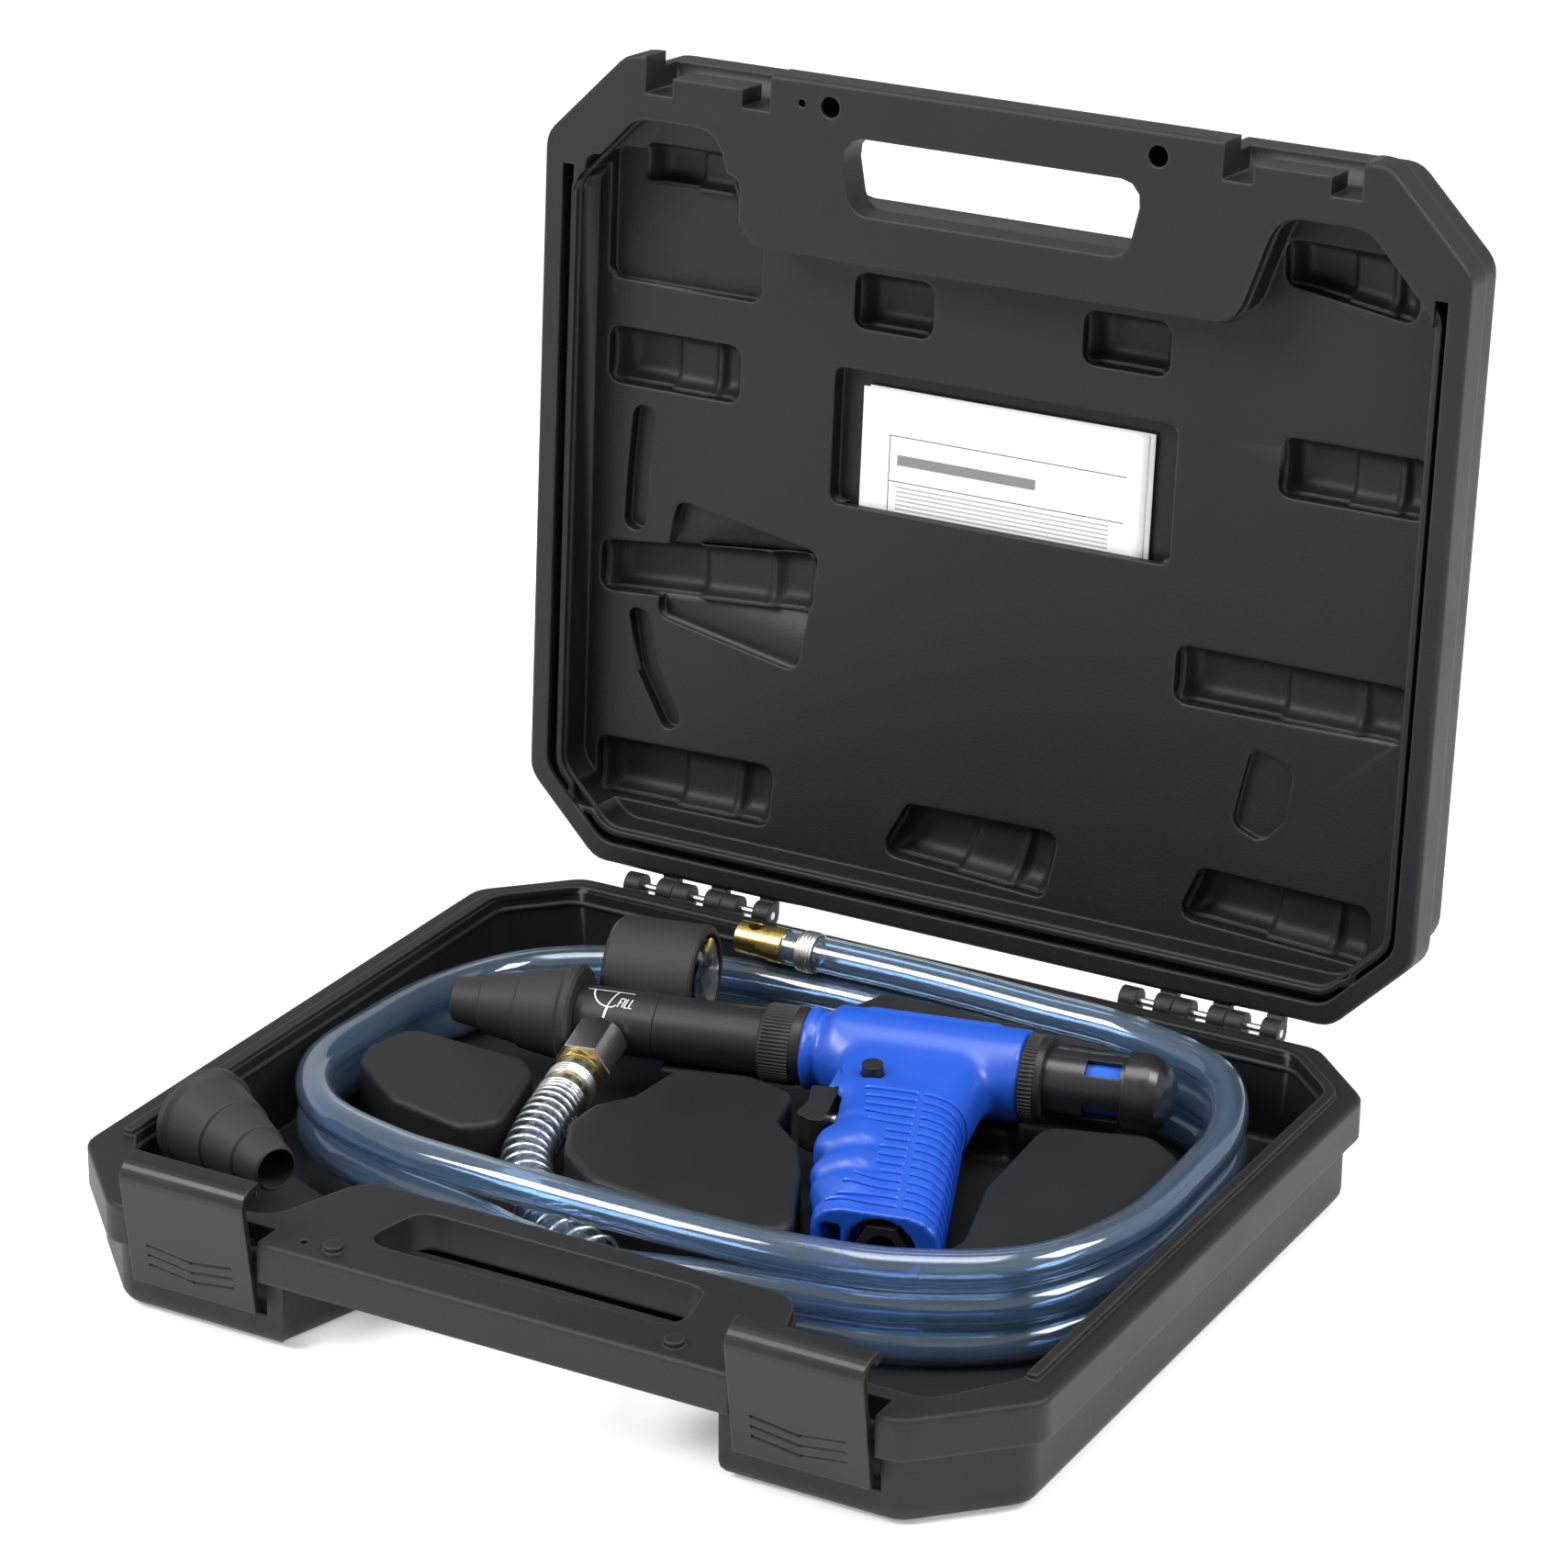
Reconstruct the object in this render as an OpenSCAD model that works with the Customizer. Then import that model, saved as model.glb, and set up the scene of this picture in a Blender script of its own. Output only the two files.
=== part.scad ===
// Coolant vacuum refill kit: hinged case, venturi vacuum gun with gauge, fill hose and spare cone.
// Millimetres, +Z up. The origin is the centre of the base's underside, with the latches toward -Y.

/* [Case] */
// Width of the case along the hinge
case_w = 380; // [372:1:400]
// Depth of the case from the latches to the hinge
case_d = 324; // [318:1:340]
// Height of the base up to the parting face
base_h = 42; // [41:0.5:46]
// Height of the lid above the parting face
lid_h = 42; // [40:0.5:50]
// Gap between the two rims when shut
parting_gap = 0.3; // [0.2:0.1:0.6]
// Leg of the front corner chamfers
front_chamfer = 35; // [25:1:45]
// Leg of the back corner chamfers
back_chamfer = 31; // [25:1:40]
// Radius on the corners of the outline
corner_r = 12; // [6:1:20]
// Height of the proud band around each rim
band_h = 15; // [12:0.5:18]
// How far the band stands out from the body below it
band_proud = 5; // [3:0.5:7]
// Width of the rim from outside to cavity
rim_w = 13; // [12:0.5:14]
// Thickness of each moulded skin
skin = 2.2; // [1.6:0.1:2.4]
// Height of the channel floor above the underside
floor_t = 6; // [5.5:0.1:6.2]
// Depth of the lid's inner panel below its rim
panel_depth = 20.5; // [20:0.5:23]
// Depth of the accessory pockets below the lid's rim
pocket_depth = 34; // [30:0.5:37]
// Depth of the shallow recesses below the lid's rim
shallow_depth = 26; // [24:0.5:29]
// Height of the lip that centres the lid
lip_h = 2; // [1:0.5:3]
// Thickness of the lip
lip_w = 4; // [3:0.5:4.4]
// Clearance of the lip in its groove
lip_clear = 0.6; // [0.3:0.1:0.8]
// Diameter of the locating studs on the handle
stud_d = 7; // [4:0.5:10]
// Height of the locating studs
stud_h = 2.2; // [1:0.2:3]
// Diameter of the blowing hole in each shell
blow_hole_d = 3; // [2:0.5:5]

/* [Handle] */
// Depth of the carrying bar, front to back
bar_depth = 19; // [15:0.5:22]
// Length of the hand opening at the bar
hand_w = 126; // [100:1:140]
// Depth of the hand opening
hand_depth = 29; // [25:0.5:32]
// Thickness of the wall behind the hand opening
surround_t = 10; // [8:0.5:10]
// Distance between the two feet under the bar
feet_gap = 180; // [160:1:182]

/* [Hinge] */
// How far the lid stands open at rest
lid_open = 94; // [88:1:100]
// Distance of the hinge line behind the rim
hinge_out = 6; // [5.6:0.1:8]
// Drop of the hinge line below the parting face
hinge_drop = 1; // [0:0.2:2]
// Radius of a hinge knuckle
knuckle_r = 5; // [4:0.1:5.2]
// Length of a hinge knuckle
knuckle_w = 7; // [5:0.5:8]
// Window between two knuckles where the pin shows
knuckle_window = 7.5; // [4:0.5:8]
// Side play between neighbouring knuckles
knuckle_play = 0.4; // [0.3:0.1:1]
// Diameter of the hinge pins
hinge_pin_d = 3.2; // [2:0.2:4]
// Distance of each hinge's middle from the centre
hinge_x = 108.5; // [90:0.5:120]

/* [Latches] */
// Distance of each latch's middle from the centre
latch_x = 119.5; // [117:0.5:122]
// Width of a latch
latch_w = 51; // [46:0.5:52]
// Thickness of a latch
latch_t = 2.5; // [2:0.1:3]
// Side clearance of a latch in its recess
latch_clear = 1.5; // [1:0.1:2]
// Lean of the latches at rest, away from shut
latch_lean = 8; // [7.5:0.5:10]
// Height of the latch pivot
latch_pivot_z = 34; // [33:0.5:35]
// Diameter of the latch pivot bar
latch_bar_d = 6; // [4:0.2:6.4]
// Running clearance of pins, in radius
run_clear = 0.06; // [0.03:0.01:0.09]
// How far the hook reaches over the lid
hook_reach = 2.5; // [2:0.1:2.8]

/* [Gun] */
// Turn of the gun in the case
gun_yaw = 12; // [11:0.5:13]
// Roll of the gun, grip end down
gun_tilt = 6; // [5:0.5:6.5]
// Height of the barrel's axis
gun_z = 36; // [36:0.2:37]
// Diameter of the blue barrel
barrel_d = 35; // [33:0.5:36]
// Length of the blue barrel behind its flange
barrel_l = 79; // [76:0.5:82]
// Bore of the barrel
barrel_bore_d = 24; // [22:0.5:24.4]
// Diameter of the barrel's front flange
flange_d = 31; // [28:0.5:33]
// Diameter of the front knurled collar
front_collar_d = 30; // [29:0.5:34]
// Diameter of the rear knurled collar
rear_collar_d = 33; // [31:0.5:36]
// Diameter of the black vacuum tube
tube_d = 24.8; // [24.6:0.1:25.2]
// Length of the vacuum tube in front of the collar
tube_l = 41; // [38:0.5:42]
// Length of the fill body between tube and cone
fill_l = 31; // [30:0.5:34]
// Diameter of the silencer tube
silencer_d = 25; // [23:0.5:25.4]
// Distance from the barrel axis to the grip's base
grip_l = 125; // [118:1:126]
// Width of the grip, front to back
grip_w = 47; // [42:0.5:48]
// Thickness of the grip
grip_t = 30; // [27:0.5:31]
// Travel of the trigger
trigger_travel = 5; // [3:0.5:5.5]
// Travel of the lock button
button_travel = 3; // [2:0.5:3.5]
// Clearance of parts seated in bores, in radius
seat_clear = 0.05; // [0.02:0.01:0.1]

/* [Cone] */
// Length of a rubber cone
cone_l = 51; // [46:0.5:54]
// Diameter of a cone's big end
cone_d = 39; // [36:0.5:39.4]
// Diameter of a cone's small end
cone_tip_d = 17; // [16.5:0.5:19]
// Diameter of the pipe that carries the cone
nose_pipe_d = 14.8; // [12:0.2:15]

/* [Gauge] */
// Diameter of the gauge's rubber boot
boot_d = 43; // [41:0.5:43]
// Length of the boot
boot_l = 36; // [34:0.5:37]
// Distance of the gauge's axis from the barrel's
gauge_rise = 36.5; // [36:0.5:37]
// Thickness of the boot's wall
boot_t = 1.6; // [1.2:0.1:2]
// Diameter of the brass gauge stem
stem_d = 9.6; // [8:0.2:10]

/* [Hose] */
// Outer diameter of the hose
hose_d = 14; // [12:0.2:14.2]
// Bore of the hose
hose_bore_d = 10; // [8:0.2:10.4]
// Wire of the bend spring
spring_wire_d = 2; // [1.4:0.1:2.2]
// Outer diameter of the bend spring
spring_d = 20; // [19.4:0.1:20.4]
// Curls in the bend spring
spring_curls = 22; // [16:1:24]
// Across-flats of the hex swivel nut
swivel_af = 20; // [17:0.5:21]

/* [Booklet] */
// Width of the folded booklet
booklet_w = 124; // [110:1:130]
// Height of the folded booklet
booklet_h = 105; // [90:1:106]
// Thickness of the folded booklet
booklet_t = 2.4; // [1:0.2:3]

/* [Hidden] */
$fn = 48;
eps = 0.01;
over = 1;

black = "#232427";
rubber = "#1c1c1e";
blue = "#1f55d6";
brass = "#c39a3c";
zinc = "#c9ccd0";

// Places along the case
half_w = case_w / 2;
half_d = case_d / 2;
lid_z = base_h + parting_gap;
lid_top = lid_z + lid_h;
band_low = base_h - band_h;
band_high = lid_z + band_h;
hinge_y = half_d + hinge_out;
hinge_z = base_h - hinge_drop;
bar_y = -half_d + bar_depth;
hand_y = bar_y + hand_depth;
cavity_front = hand_y + surround_t;
lid_cavity_front = cavity_front + 8;
latch_front_y = -half_d;
latch_pivot_y = -half_d + 5;
latch_step = 7;
latch_deep = 12;
hook_deep = 14;
hook_high = 9;
hook_lip = 2.2;
latch_low = 15;
latch_floor = 12;
hook_gap = 0.5;
hook_z = band_high + hook_gap + hook_lip;
base_wall = 18;
lid_wall = 24;
lip_out = rim_w - lip_w - 0.4;
lip_front = -half_d + 46;

// Places along the gun's axis, measured from the middle of the front collar
gun_at = [-19.4, 77.4, gun_z];
barrel_r = barrel_d / 2;
bore_r = barrel_bore_d / 2;
flange_s = 9;
flange_t = 4;
spigot_r = bore_r + 1.2;
barrel_end = flange_s + flange_t + barrel_l;
collar_front = -8;
collar_lip = 4;
tube_front = collar_front - tube_l;
fill_front = tube_front - 0.3 - fill_l;
cone_tip = fill_front - cone_l;
tube_r = tube_d / 2;
tube_bore_r = 8.4;
rear_spigot_l = 5;
silencer_r = silencer_d / 2;
silencer_s = barrel_end + rear_spigot_l;
silencer_end = silencer_s + 39;
cap_end = silencer_end + 13;
cap_r = silencer_r + 2.6;
port_s = fill_front + 12;
port_r = 6;
swivel_r = swivel_af / 2 / cos(30);
swivel_d0 = tube_r + 0.8;
swivel_d1 = swivel_d0 + 24;
tail_collar = 4;
ferrule_l = 16;
ferrule_d0 = swivel_d1 + tail_collar;
ferrule_d1 = ferrule_d0 + ferrule_l;
ferrule_r = hose_d / 2 + 1.6;
hose_r = hose_d / 2;
tail_r = hose_bore_d / 2 - seat_clear;
gauge_s = port_s + 7;
boot_r = boot_d / 2;
boot_back = gauge_s - boot_l / 2;
boot_front = gauge_s + boot_l / 2;
can_r = boot_r - boot_t;
can_t = 1;
stem_r = stem_d / 2;
band_clear = 0.3;

// Places in the grip
valve_d = 47;
valve_r = 6.2;
valve_front = 38;
valve_back = 77;
seat_back = 59.5;
valve_rod_r = 2.4;
trigger_front = 21;
trigger_back = valve_front - trigger_travel - 1.2;
trigger_top = 36;
trigger_low = 59;
trigger_half = 7;
trigger_play = 0.6;
button_at = [43, -32];
button_r = 3.9;
web_half = 13;
web_low = 44;
web_front = 26;
web_back = barrel_end - 10;
inlet_s = 73;
inlet_r = 12.6;
inlet_hex_r = 10.5;
inlet_depth = 12;

// Route of the hose: a lead by hand, then loops round the case
hose_lead = [[-69.5, -16, 27.5], [-64, -34, 24.5], [-51, -51, 21.5], [-30, -67, 18.6], [-2, -77.5, 17]];
loop_mid = [-2.5, 30];
loop_reach = [165, 111];
loop_power = 3;
loop_steps = 24;
loop_first = -72;
loop_last = 828;
layer_low = 13.3;
layer_step = 14.4;
// The last stretch lifts, so that the end's band lies on the loop below it
end_lift = 1.3;
end_lift_from = 770;
end_lift_over = 45;
climb_from = 150;
climb_over = 100;
bulge = 14;
bulge_at = 268;
bulge_wide = 22;
corner_bulge = 8;
corner_at = 38;
corner_wide = 14;
hose_sides = 8;
spring_sides = 6;
curl_rings = 8;

// Spare cone lying in the front pocket, small end toward the handle
spare_at = [-half_w + 24, -half_d + 72, 41];
spare_yaw = 156;
rest_gap = 0.3;
spare_rest = spare_at.z - cone_d / 2 - rest_gap;

// Direction of a vector
function unit(v) = v / norm(v);

// A point turned about Z, and about X
function turn_z(p, a) = [p.x * cos(a) - p.y * sin(a), p.x * sin(a) + p.y * cos(a), p.z];
function turn_x(p, a) = [p.x, p.y * cos(a) - p.z * sin(a), p.y * sin(a) + p.z * cos(a)];

// A point of the gun, where the gun lies in the case
function gun_point(p) = gun_at + turn_z(turn_x(p, gun_tilt), gun_yaw);

// An anticlockwise outline moved inwards by g: each corner goes to where its shifted edges meet
function inset(pts, g) = let (n = len(pts)) [
    for (i = [0 : n - 1])
        let (u = unit(pts[i] - pts[(i + n - 1) % n]), v = unit(pts[(i + 1) % n] - pts[i]))
        let (a = [-u.y, u.x], b = [-v.y, v.x])
        pts[i] + g * (a + b) / (1 + a * b)
];

// An outline with an arc of radius r at each corner, tangent to both edges
function rounded(pts, r, steps = 3) = let (n = len(pts)) [
    for (i = [0 : n - 1])
        let (to_last = pts[(i + n - 1) % n] - pts[i], to_next = pts[(i + 1) % n] - pts[i])
        let (u = unit(to_last), v = unit(to_next), half = acos(u * v) / 2)
        let (reach = min(r / tan(half), 0.45 * norm(to_last), 0.45 * norm(to_next)))
        let (arc_r = reach * tan(half), mid = pts[i] + unit(u + v) * arc_r / sin(half))
        let (from = pts[i] + u * reach - mid, to = pts[i] + v * reach - mid)
        let (a = atan2(from.y, from.x), turn = (atan2(to.y, to.x) - a + 540) % 360 - 180)
        for (k = [0 : steps]) mid + arc_r * [cos(a + turn * k / steps), sin(a + turn * k / steps)]
];

// A rectangle as an anticlockwise outline
function rect(x0, x1, y0, y1) = [[x0, y0], [x1, y0], [x1, y1], [x0, y1]];

// Outline of the case, with its chamfered corners
case_outline = [
    [-half_w + front_chamfer, -half_d], [half_w - front_chamfer, -half_d],
    [half_w, -half_d + front_chamfer], [half_w, half_d - back_chamfer],
    [half_w - back_chamfer, half_d], [-half_w + back_chamfer, half_d],
    [-half_w, half_d - back_chamfer], [-half_w, -half_d + front_chamfer]
];

// Studs and blow hole on the handle's bar
stud_x = 67;
stud_y = -half_d + 9;
blow_x = -79;
// Barrel's rear spigot and the inlet's bore
rear_spigot_r = bore_r + 2.4;
inlet_bore_r = 5.8;
// Gauge's lens and dial
lens_r = can_r - can_t - 0.15;
dial_s = boot_front - 9;

// Outline of a cavity: the rim's inside, stepping back behind the handle
function cavity_outline(front, half_mid, wall) = [
    [-half_w + wall + 16, -half_d + wall], [-half_mid - 14, -half_d + wall],
    [-half_mid, front], [half_mid, front],
    [half_mid + 14, -half_d + wall], [half_w - wall - 16, -half_d + wall],
    [half_w - rim_w, -half_d + wall + 28],
    [half_w - rim_w, half_d - back_chamfer - 4], [half_w - back_chamfer - 4, half_d - rim_w],
    [-half_w + back_chamfer + 4, half_d - rim_w], [-half_w + rim_w, half_d - back_chamfer - 4],
    [-half_w + rim_w, -half_d + wall + 28]
];

// Raised islands of the base: outline, height of the top, corner radius
islands = [
    [[[-152, -10], [-125, -30], [-88, -38], [-80, -26], [-91, 14], [-100, 23], [-152, 25], [-157, 2]], 34, 9],
    [[[-58, -15], [-49, -33], [-28, -50], [30, -58], [54, -50], [43, -28], [33, -6], [22, 12], [7, 24],
        [1, 47], [-20, 52], [-47, 44], [-49, 16], [-58, 2]], 34, 8],
    [[[103, -54], [114, -50], [137, -28], [150, 20], [147, 68], [130, 80], [92, 68],
        [96, 15], [108, -25]], 34, 9],
    [[[-14, 104], [10, 104], [40, 112], [92, 121], [96, 125], [86, 129], [-6, 130]], 40, 4],
    [[for (p = [[14, 44], [40, 22], [86, 34], [90, 70], [70, 78], [32, 96], [14, 94]])
        [p.x - half_w, p.y - half_d]], spare_rest, 5]
];

// Shelves that carry the barrel and the vacuum tube: start, end, half width, radius above
shelves = [
    [20, 88, 10, barrel_r],
    [-48, -12, 8, tube_r]
];

// Outline drawn in x and distance from the hinge edge, as it lies in the shut lid
function in_lid(pts) = [for (p = pts) [p.x, half_d - p.y]];
function box_in_lid(x0, x1, v0, v1) = in_lid([[x0, v0], [x0, v1], [x1, v1], [x1, v0]]);

// Pockets of the lid's panel: outline and depth
pockets = [
    [box_in_lid(-159, -109, case_d - 54, case_d - 37), pocket_depth],
    [box_in_lid(-171, -112, case_d - 134, case_d - 111), pocket_depth],
    [box_in_lid(-64, -30, case_d - 96, case_d - 74), pocket_depth],
    [box_in_lid(32, 68, case_d - 95, case_d - 74), pocket_depth],
    [in_lid([[-172, 126], [-76, 136], [-76, 112], [-172, 105]]), pocket_depth],
    [in_lid([[-171, 45], [-90, 47], [-92, 21], [-171, 20]]), pocket_depth],
    [in_lid([[-31, 44], [35, 45], [30, 17], [-43, 21]]), pocket_depth],
    [in_lid([[94, 44], [164, 42], [165, 18], [85, 22]]), pocket_depth],
    [in_lid([
        [110, case_d - 36], [163, case_d - 37], [164, case_d - 61], [111, case_d - 53]
    ]), pocket_depth],
    [box_in_lid(114, 173, case_d - 132, case_d - 109), pocket_depth],
    [box_in_lid(78, 172, 106, 129), pocket_depth],
    [box_in_lid(-172, -104, case_d - 93, case_d - 40), shallow_depth],
    [in_lid([[-138, 148], [-74, 137], [-82, 87], [-146, 99]]), shallow_depth],
    [in_lid([[-159, 183], [-149, 183], [-151, 156], [-152, 132], [-162, 132], [-161, 156]]), shallow_depth],
    [in_lid([[-159, 101], [-149, 100], [-144, 79], [-132, 57], [-140, 51], [-154, 75]]), shallow_depth],
    [in_lid([[111, 95], [129, 90], [127, 68], [118, 58], [105, 63]]), shallow_depth - 2]
];
booklet_window = [-71, 73, case_d - 166, case_d - 112];
booklet_slot_low = case_d - 224;
booklet_front = 24;
booklet_room = 4;

// A flat-topped solid on an outline, with its walls moved inwards by g
module slab(pts, z0, z1, r = 6, g = 0) {
    translate([0, 0, z0])
        linear_extrude(z1 - z0)
            polygon(rounded(inset(pts, g), r));
}

// A solid turned about the X axis from points of radius and distance
module turned(profile) {
    rotate([0, 90, 0])
        rotate_extrude()
            polygon(profile);
}

// A round bar along X from s0 to s1
module along(s0, s1, r) {
    translate([s0, 0, 0])
        rotate([0, 90, 0])
            cylinder(h = s1 - s0, r = r);
}

// A round bar from the barrel's axis toward the grip, from d0 to d1
module down(s, d0, d1, r, sides = 0) {
    translate([s, -d0, 0])
        rotate([90, 0, 0])
            cylinder(h = d1 - d0, r = r, $fn = sides == 0 ? $fn : sides);
}

// Puts the gun's own frame where the gun lies
module gun_place() {
    translate(gun_at)
        rotate([0, 0, gun_yaw])
            rotate([gun_tilt, 0, 0])
                children();
}

// Puts the shut lid where it stands open
module lid_place() {
    translate([0, hinge_y, hinge_z])
        rotate([-lid_open, 0, 0])
            translate([0, -hinge_y, -hinge_z])
                children();
}

// Opening for the hand, through everything
module hand_opening(g) {
    front = hand_w / 2;
    back = front - 6;
    slab([[-front, bar_y], [front, bar_y], [back, hand_y], [-back, hand_y]], -over, lid_top + over, 8, -g);
}

// Space under the bar between the two feet
module feet_recess(z0, z1, g) {
    front = feet_gap / 2;
    back = front - 16;
    outline = [[-front, -half_d - 4], [front, -half_d - 4], [back, hand_y + 1], [-back, hand_y + 1]];
    slab(outline, z0, z1, 10, -g);
}

// Recess of a latch in the base's front
module latch_recess(x, g) {
    half = latch_w / 2 + latch_clear + g;
    translate([x - half, -half_d - over, latch_floor - g])
        cube([2 * half, latch_deep + over + g, base_h]);
}

// Knuckles of one shell at one hinge: every second one, starting with first
module knuckles(x, first, arm_z0, arm_z1) {
    pair = 2 * knuckle_w + knuckle_window + knuckle_play;
    for (i = [0 : 2]) {
        x0 = x - 1.5 * pair + i * pair + first * (knuckle_w + knuckle_window);
        translate([x0, hinge_y, hinge_z])
            rotate([0, 90, 0])
                cylinder(h = knuckle_w, r = knuckle_r);
        translate([x0, half_d - 3, arm_z0])
            cube([knuckle_w, hinge_out + 3, arm_z1 - arm_z0]);
    }
}

// Holes for the hinge pins
module hinge_bores() {
    for (x = [-hinge_x, hinge_x])
        translate([x - 40, hinge_y, hinge_z])
            rotate([0, 90, 0])
                cylinder(h = 80, r = hinge_pin_d / 2 + run_clear);
}

module base_outer(g) {
    slab(case_outline, band_low + g, base_h - g, corner_r, g);
    slab(case_outline, g, band_low + g + eps, corner_r, band_proud + g);
}

// Hollow that holds the kit: the cavity less its islands and shelves
module base_cavity(g) {
    difference() {
        outline = cavity_outline(cavity_front, hand_w / 2 + 23, base_wall);
        slab(outline, floor_t - g, base_h + lip_h + over, 12, -g);
        for (i = islands)
            slab(i[0], 0, i[1] - g, i[2], g);
        for (s = shelves)
            translate([gun_at.x, gun_at.y, 0])
                rotate([0, 0, gun_yaw])
                    slab(rect(s[0], s[1], -s[2], s[2]), 0, gun_z - s[3] - rest_gap - g, 2, g);
    }
}

module base_cuts(g) {
    hand_opening(g);
    feet_recess(-over, band_low + g, g);
    for (x = [-latch_x, latch_x])
        latch_recess(x, g);
}

// Lip that stands on the base's rim and centres the lid
module rim_lip(grow, h) {
    intersection() {
        difference() {
            slab(case_outline, base_h - over, base_h + h, corner_r, lip_out - grow);
            slab(case_outline, base_h - 2 * over, base_h + h + over, corner_r, lip_out + lip_w + grow);
        }
        translate([-case_w, lip_front - grow, 0])
            cube([2 * case_w, case_d, 3 * base_h]);
    }
}

module base_shell() {
    color(black)
    difference() {
        union() {
            difference() {
                base_outer(0);
                base_cavity(0);
                base_cuts(0);
                difference() {
                    base_outer(skin);
                    base_cavity(skin);
                    base_cuts(skin);
                }
            }
            rim_lip(0, lip_h);
            for (x = [-1, 1]) {
                knuckles(x * hinge_x, 0, hinge_z - knuckle_r, hinge_z - 0.5);
                translate([x * stud_x, stud_y, base_h - over])
                    cylinder(h = stud_h + over, d = stud_d);
                translate([x * latch_x - latch_w / 2 - latch_clear - over, latch_pivot_y, latch_pivot_z])
                    rotate([0, 90, 0])
                        cylinder(h = latch_w + 2 * latch_clear + 2 * over, d = latch_bar_d);
            }
        }
        hinge_bores();
        translate([blow_x, stud_y, base_h - 2 * skin])
            cylinder(h = 2 * skin + over, d = blow_hole_d);
    }
}

module lid_outer(g) {
    slab(case_outline, lid_z + g, band_high - g, corner_r, g);
    slab(case_outline, band_high - g - eps, lid_top - g, corner_r, band_proud + g);
}

// Hollow of the lid with its pockets and the booklet's window and slot
module lid_cavity(g) {
    outline = cavity_outline(lid_cavity_front, hand_w / 2 + 38, lid_wall);
    slab(outline, lid_z - over, lid_z + panel_depth + g, 12, -g);
    for (p = pockets)
        slab(p[0], lid_z, lid_z + p[1] + g, 5, -g);
    w = booklet_window;
    back = lid_z + booklet_front + booklet_room;
    slab(box_in_lid(w[0], w[1], w[2], w[3]), lid_z, back + g, 4, -g);
    slot = box_in_lid(w[0] + 5, w[1] - 5, booklet_slot_low, w[2] + 5);
    slab(slot, lid_z + booklet_front - g, back + g, 2, -g);
}

// Notches for the latch's ears, the step that the hook goes over and the space for the hook
module latch_notches(g) {
    half = latch_w / 2 + latch_clear + g;
    notch = 12;
    notch_x = latch_w / 2 + latch_clear - notch / 2;
    for (x = [-latch_x, latch_x]) {
        translate([x - half, -half_d - over, lid_z - over])
            cube([2 * half, latch_step + over + g, band_h + 2 * over]);
        translate([x - half, -half_d - over, band_high - g])
            cube([2 * half, hook_deep + over + g, hook_high + 2 * g]);
        for (side = [-1, 1])
            translate([x + side * notch_x - notch / 2 - g, -half_d - over, lid_z - over])
                cube([notch + 2 * g, hook_deep + over + g, band_h + 2 * over]);
    }
}

module lid_cuts(g) {
    hand_opening(g);
    feet_recess(band_high - g, lid_top + over, g);
    latch_notches(g);
}

module lid_shell() {
    color(black)
    lid_place()
    difference() {
        union() {
            difference() {
                lid_outer(0);
                lid_cavity(0);
                lid_cuts(0);
                difference() {
                    lid_outer(skin);
                    lid_cavity(skin);
                    lid_cuts(skin);
                }
            }
            for (x = [-hinge_x, hinge_x])
                knuckles(x, 1, lid_z + 0.2, hinge_z + knuckle_r);
        }
        hinge_bores();
        translate([0, 0, parting_gap])
            rim_lip(lip_clear, lip_h + lip_clear);
        for (x = [-stud_x, stud_x])
            translate([x, stud_y, lid_z - over])
                cylinder(h = stud_h + 2 * over, d = stud_d + 1);
        translate([blow_x, stud_y, lid_z - over])
            cylinder(h = 2 * skin + over, d = blow_hole_d);
    }
}

module hinge_pin(x) {
    reach = 3 * (2 * knuckle_w + knuckle_window + knuckle_play) / 2;
    color(zinc)
    translate([x - reach, hinge_y, hinge_z])
        rotate([0, 90, 0])
            cylinder(h = 2 * reach - knuckle_play, d = hinge_pin_d);
}

module hinge_pin_left() { hinge_pin(-hinge_x); }
module hinge_pin_right() { hinge_pin(hinge_x); }

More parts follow.
